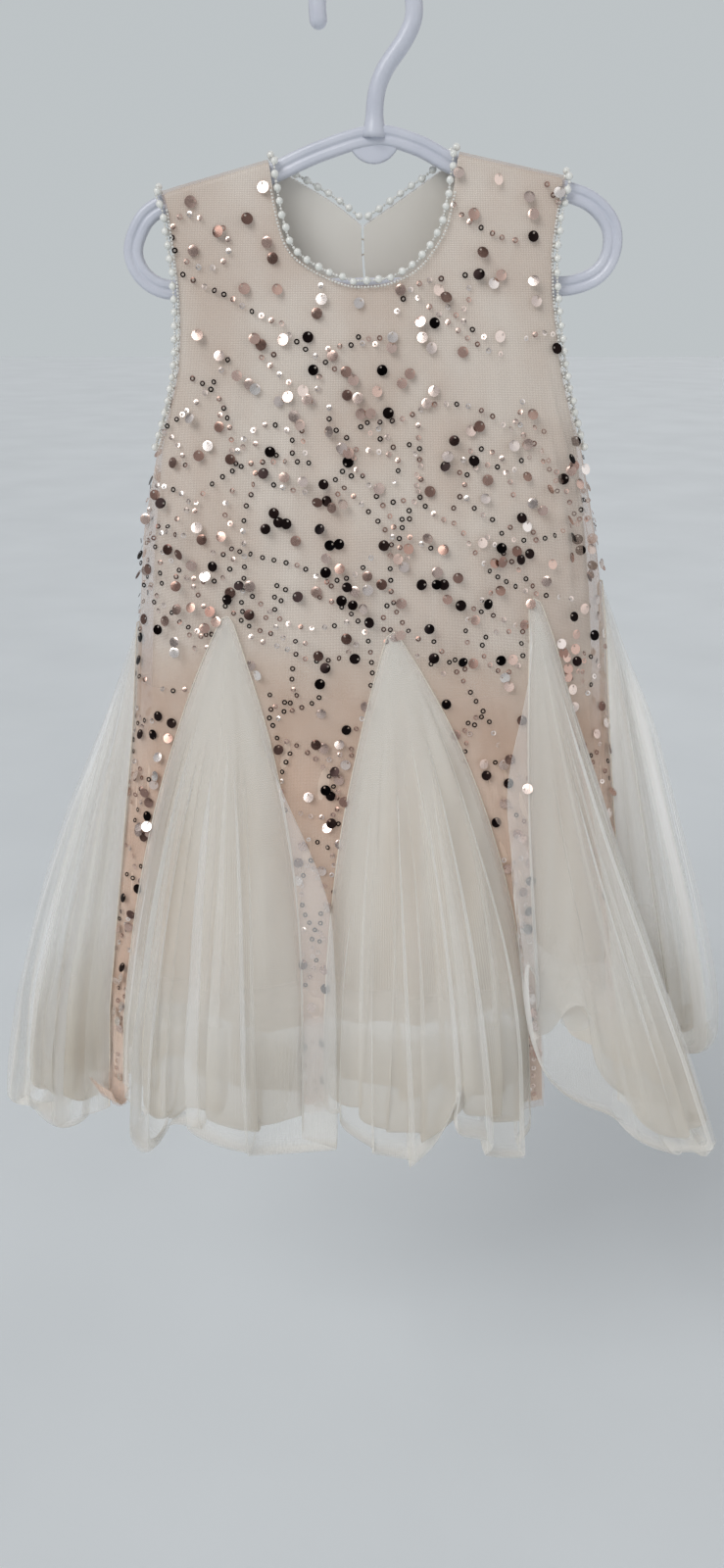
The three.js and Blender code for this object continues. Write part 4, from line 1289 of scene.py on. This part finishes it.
def on_cloth(points):
    """The points moved along Y onto the cloth, on the side that each is on."""
    x, z = points[:, 0], points[:, 2]
    half, middle = half_and_middle(z)
    angle = np.degrees(np.arccos(np.clip((middle - x) / half, -0.9995, 0.9995)))
    return body_point(np.where(points[:, 1] > 0, 360 - angle, angle), z, LINE_LIFT)


lines = [
    neck_edge(FRONT_EDGE, False, NECK_LEFT + NECK_SKIP, NECK_RIGHT - NECK_SKIP, -LINE_OFF),
    neck_edge(BACK_EDGE, True, NECK_LEFT + 0.02, SLIT_LEFT, -LINE_OFF),
    neck_edge(BACK_EDGE, True, SLIT_RIGHT, NECK_RIGHT - 0.02, -LINE_OFF),
]
for side in (-1, 1):
    half = armhole_half(side, -1.2)
    lines += [half, half * (1, -1, 1)]
seed_beads("cloth_seed_beads", [resample(on_cloth(line), LINE_GAP) for line in lines], 0.6, 0.78)

# Button and its loop at the top of the back slit
BUTTON_X, BUTTON_Z, BUTTON_HALF, BUTTON_RADIUS = -8, -143, 1.8, 4
LOOP_WIDE, LOOP_HIGH, LOOP_END, LOOP_STEPS = 14.008, 4.7, 2.2, 30
button_y = body_point(SLIT_ANGLE + 8 / mm_per_degree(270.5, BUTTON_Z), BUTTON_Z)[1]
button_points, button_faces = ball(16, 24)
button_points = button_points * (BUTTON_RADIUS, BUTTON_HALF, BUTTON_RADIUS)
button_points += (BUTTON_X, button_y + 0.75 + 0.3 + BUTTON_HALF, BUTTON_Z)
dress_piece(mesh_object("pearl_button", button_points, button_faces, PEARL), "pearl", "back_button")
loop_turn = np.linspace(0.25, 2 * np.pi - 0.25, LOOP_STEPS)
loop_x = LOOP_END - LOOP_WIDE * (1 + np.cos(loop_turn)) / 2
loop_z = BUTTON_Z + LOOP_HIGH * np.sin(loop_turn)
loop_run = np.stack([loop_x, np.full(LOOP_STEPS, button_y + 1.6), loop_z], axis=-1)
dress_piece(mesh_object("button_loop", *tube(loop_run, 0.45, 8), THREAD), "net")

# Hanger: smooth moulded bars with a rim and a groove. Half a bar's section, over one face from rim to rim
BAR_FACE = [
    (5.5, 0), (5.42, 1.1), (5.1, 2.3), (4.4, 3.15), (3.3, 3.5), (1.7, 3.5), (1.05, 3.3), (0.6, 2.75),
    (-0.6, 2.75), (-1.05, 3.3), (-1.7, 3.5), (-3.3, 3.5), (-4.4, 3.15), (-5.1, 2.3), (-5.42, 1.1), (-5.5, 0),
]
BAR_SECTION = np.array(BAR_FACE + [(a, -b) for a, b in BAR_FACE[-2:0:-1]])
HOOK_RADIUS, ROD, ROD_SIDES = 26, 4.8, 24
ROOT_SWELL, ROOT_LENGTH = 2.2, 7
SHAFT = [(25.6, -30), (20.6, -40), (10.2, -54), (5.6, -67), (4.7, -87)]
# The hook's rounded end: share of the rod's radius, and how far from the end's first knot
HOOK_TIP = [(0.2, 4.6), (0.55, 3.9), (0.8, 2.7), (0.95, 1.3)]
ARCH = [
    (-98, -166), (-117, -165.5), (-129, -158), (-133.5, -145), (-127, -130), (-117, -122.3), (-104, -118.4),
    (-85, -113.4), (-62, -107.6), (-52, -104.7), (-26, -94), (4.5, -86), (28, -90.4), (49, -100.4),
    (59, -103), (81, -107.5), (110, -113.4), (128, -119.5), (139.5, -131), (141.5, -145), (135, -157),
    (120, -163.5), (100, -164),
]
TAB_X, TAB_Z, TAB_RADIUS, TAB_SIDES = 4.7, -85.3, 15, 40
TAB_HALF = 2.5
TAB_RINGS = [(3, -2.5), (1, -2.5), (0.35, -2.2), (0, -1.5), (0, 1.5), (0.35, 2.2), (1, 2.5), (3, 2.5)]


def upright(run):
    """A run in the hanger's own plane."""
    return [(x, 0, z) for x, z in run]


def hanger_hook():
    centre = ROD - HOOK_RADIUS
    turns = np.linspace(np.pi, 0, 9)
    bend = [(HOOK_RADIUS * math.cos(turn), centre + HOOK_RADIUS * math.sin(turn)) for turn in turns]
    run = catmull(upright([(-25.6, -30)] + bend + SHAFT), 7)
    along = np.concatenate([[0], np.cumsum(np.linalg.norm(np.diff(run, axis=0), axis=1))])
    radii = ROD + ROOT_SWELL * np.exp(-((along[-1] - along) / ROOT_LENGTH) ** 2)
    back = (run[0] - run[1]) / np.linalg.norm(run[0] - run[1])
    run = np.vstack([[run[0] + back * way for _, way in HOOK_TIP], run])
    radii = np.concatenate([[ROD * share for share, _ in HOOK_TIP], radii])
    sections = circle(1, ROD_SIDES)[None] * radii[:, None, None]
    return mesh_object("hanger_hook", *sweep(run, sections), PLASTIC)


def hanger_tab():
    """The half disc under the arch."""
    turn = np.linspace(np.pi, 2 * np.pi, TAB_SIDES)
    points = []
    for inset, y in TAB_RINGS:
        radius = TAB_RADIUS - inset
        ring = [TAB_X + radius * np.cos(turn), np.full(TAB_SIDES, y), TAB_Z + radius * np.sin(turn)]
        points.append(np.stack(ring, axis=-1))
    points = np.vstack(points + [[(TAB_X, -TAB_HALF, TAB_Z), (TAB_X, TAB_HALF, TAB_Z)]])
    here = np.arange(TAB_SIDES - 1)
    last = len(points) - 2 - TAB_SIDES
    front = np.stack([here + 1, here, np.full(TAB_SIDES - 1, len(points) - 2)], axis=-1)
    back = np.stack([last + here, last + here + 1, np.full(TAB_SIDES - 1, len(points) - 1)], axis=-1)
    return mesh_object("hanger_tab", points, [grid_faces(len(TAB_RINGS), TAB_SIDES), front, back], PLASTIC)


arch = mesh_object("hanger_arch", *sweep(catmull(upright(ARCH), 8), BAR_SECTION), PLASTIC)
moulding = join("hanger_moulding", [outward(piece) for piece in (hanger_hook(), arch, hanger_tab())])
dress_piece(moulding, "hanger", "hanger_frame")
bar_run = np.linspace((-97.5, 0, -165.99), (99.5, 0, -164.01), 30)
bar = mesh_object("hanger_lower_bar", *sweep(bar_run, BAR_SECTION), PLASTIC)
dress_piece(outward(bar), "hanger", "hanger_bar")

# Floor, light and camera
FLOOR_HALF, FLOOR_Z = 14000, -1050
finish = Finish("pale_floor", srgb(234, 240, 243), 0.7)
floor_tone = finish.ramp(finish.noise(3, 3), (0.3, srgb(231, 237, 240)), (0.7, srgb(237, 243, 246)))
corners = [(x * FLOOR_HALF, y * FLOOR_HALF, FLOOR_Z) for x, y in ((-1, -1), (1, -1), (1, 1), (-1, 1))]
mesh_object("floor", corners, np.array([[0, 1, 2, 3]]), finish.into(Base_Color=floor_tone))


def soft_sun(name, place, strength, spread, color):
    """Even light from far away, from the side that place is on."""
    data = bpy.data.lights.new(name, "SUN")
    data.energy = strength
    data.angle = math.radians(spread)
    data.color = color
    obj = bpy.data.objects.new(name, data)
    bpy.context.scene.collection.objects.link(obj)
    obj.rotation_euler = Vector(place).to_track_quat("Z", "Y").to_euler()


soft_sun("window_light", (-0.8, -1.0, 1.1), 1.38, 36, (1.0, 1.0, 1.0))
soft_sun("fill_light", (1.2, -0.7, 0.5), 0.3, 60, (1.0, 0.98, 0.95))
soft_sun("back_light", (0.5, 1.2, 0.9), 0.3, 60, (1.0, 1.0, 1.0))

# A pale room: plain where it shows, with soft darker patches for the mirror sequins to reflect
world = bpy.data.worlds.new("studio")
bpy.context.scene.world = world
room = Tree(world)
patches = room.noise(1.7, 1, coordinates="Generated")
tones = room.ramp(patches, (0.38, srgb(88, 84, 84)), (0.5, srgb(193, 195, 199)), (0.64, srgb(240, 240, 243)))
shown = room.mixed(room.add("LightPath", "Is Camera Ray"), tones, srgb(238, 245, 248))
room.feed(room.nodes["Background"], {"Color": shown, "Strength": 0.6})

CAMERA_PITCH = 22
camera_data = bpy.data.cameras.new("camera")
camera_data.lens = 29.25
camera_data.sensor_width = 36
camera_data.clip_start = 0.02
camera_data.clip_end = 100
camera = bpy.data.objects.new("camera", camera_data)
bpy.context.scene.collection.objects.link(camera)
camera.location = (-0.002, -0.794, -0.155)
camera.rotation_euler = (math.radians(90 - CAMERA_PITCH), 0, 0)
bpy.context.scene.camera = camera
bpy.context.scene.view_settings.view_transform = "Standard"
bpy.context.scene.cycles.transparent_max_bounces = 26
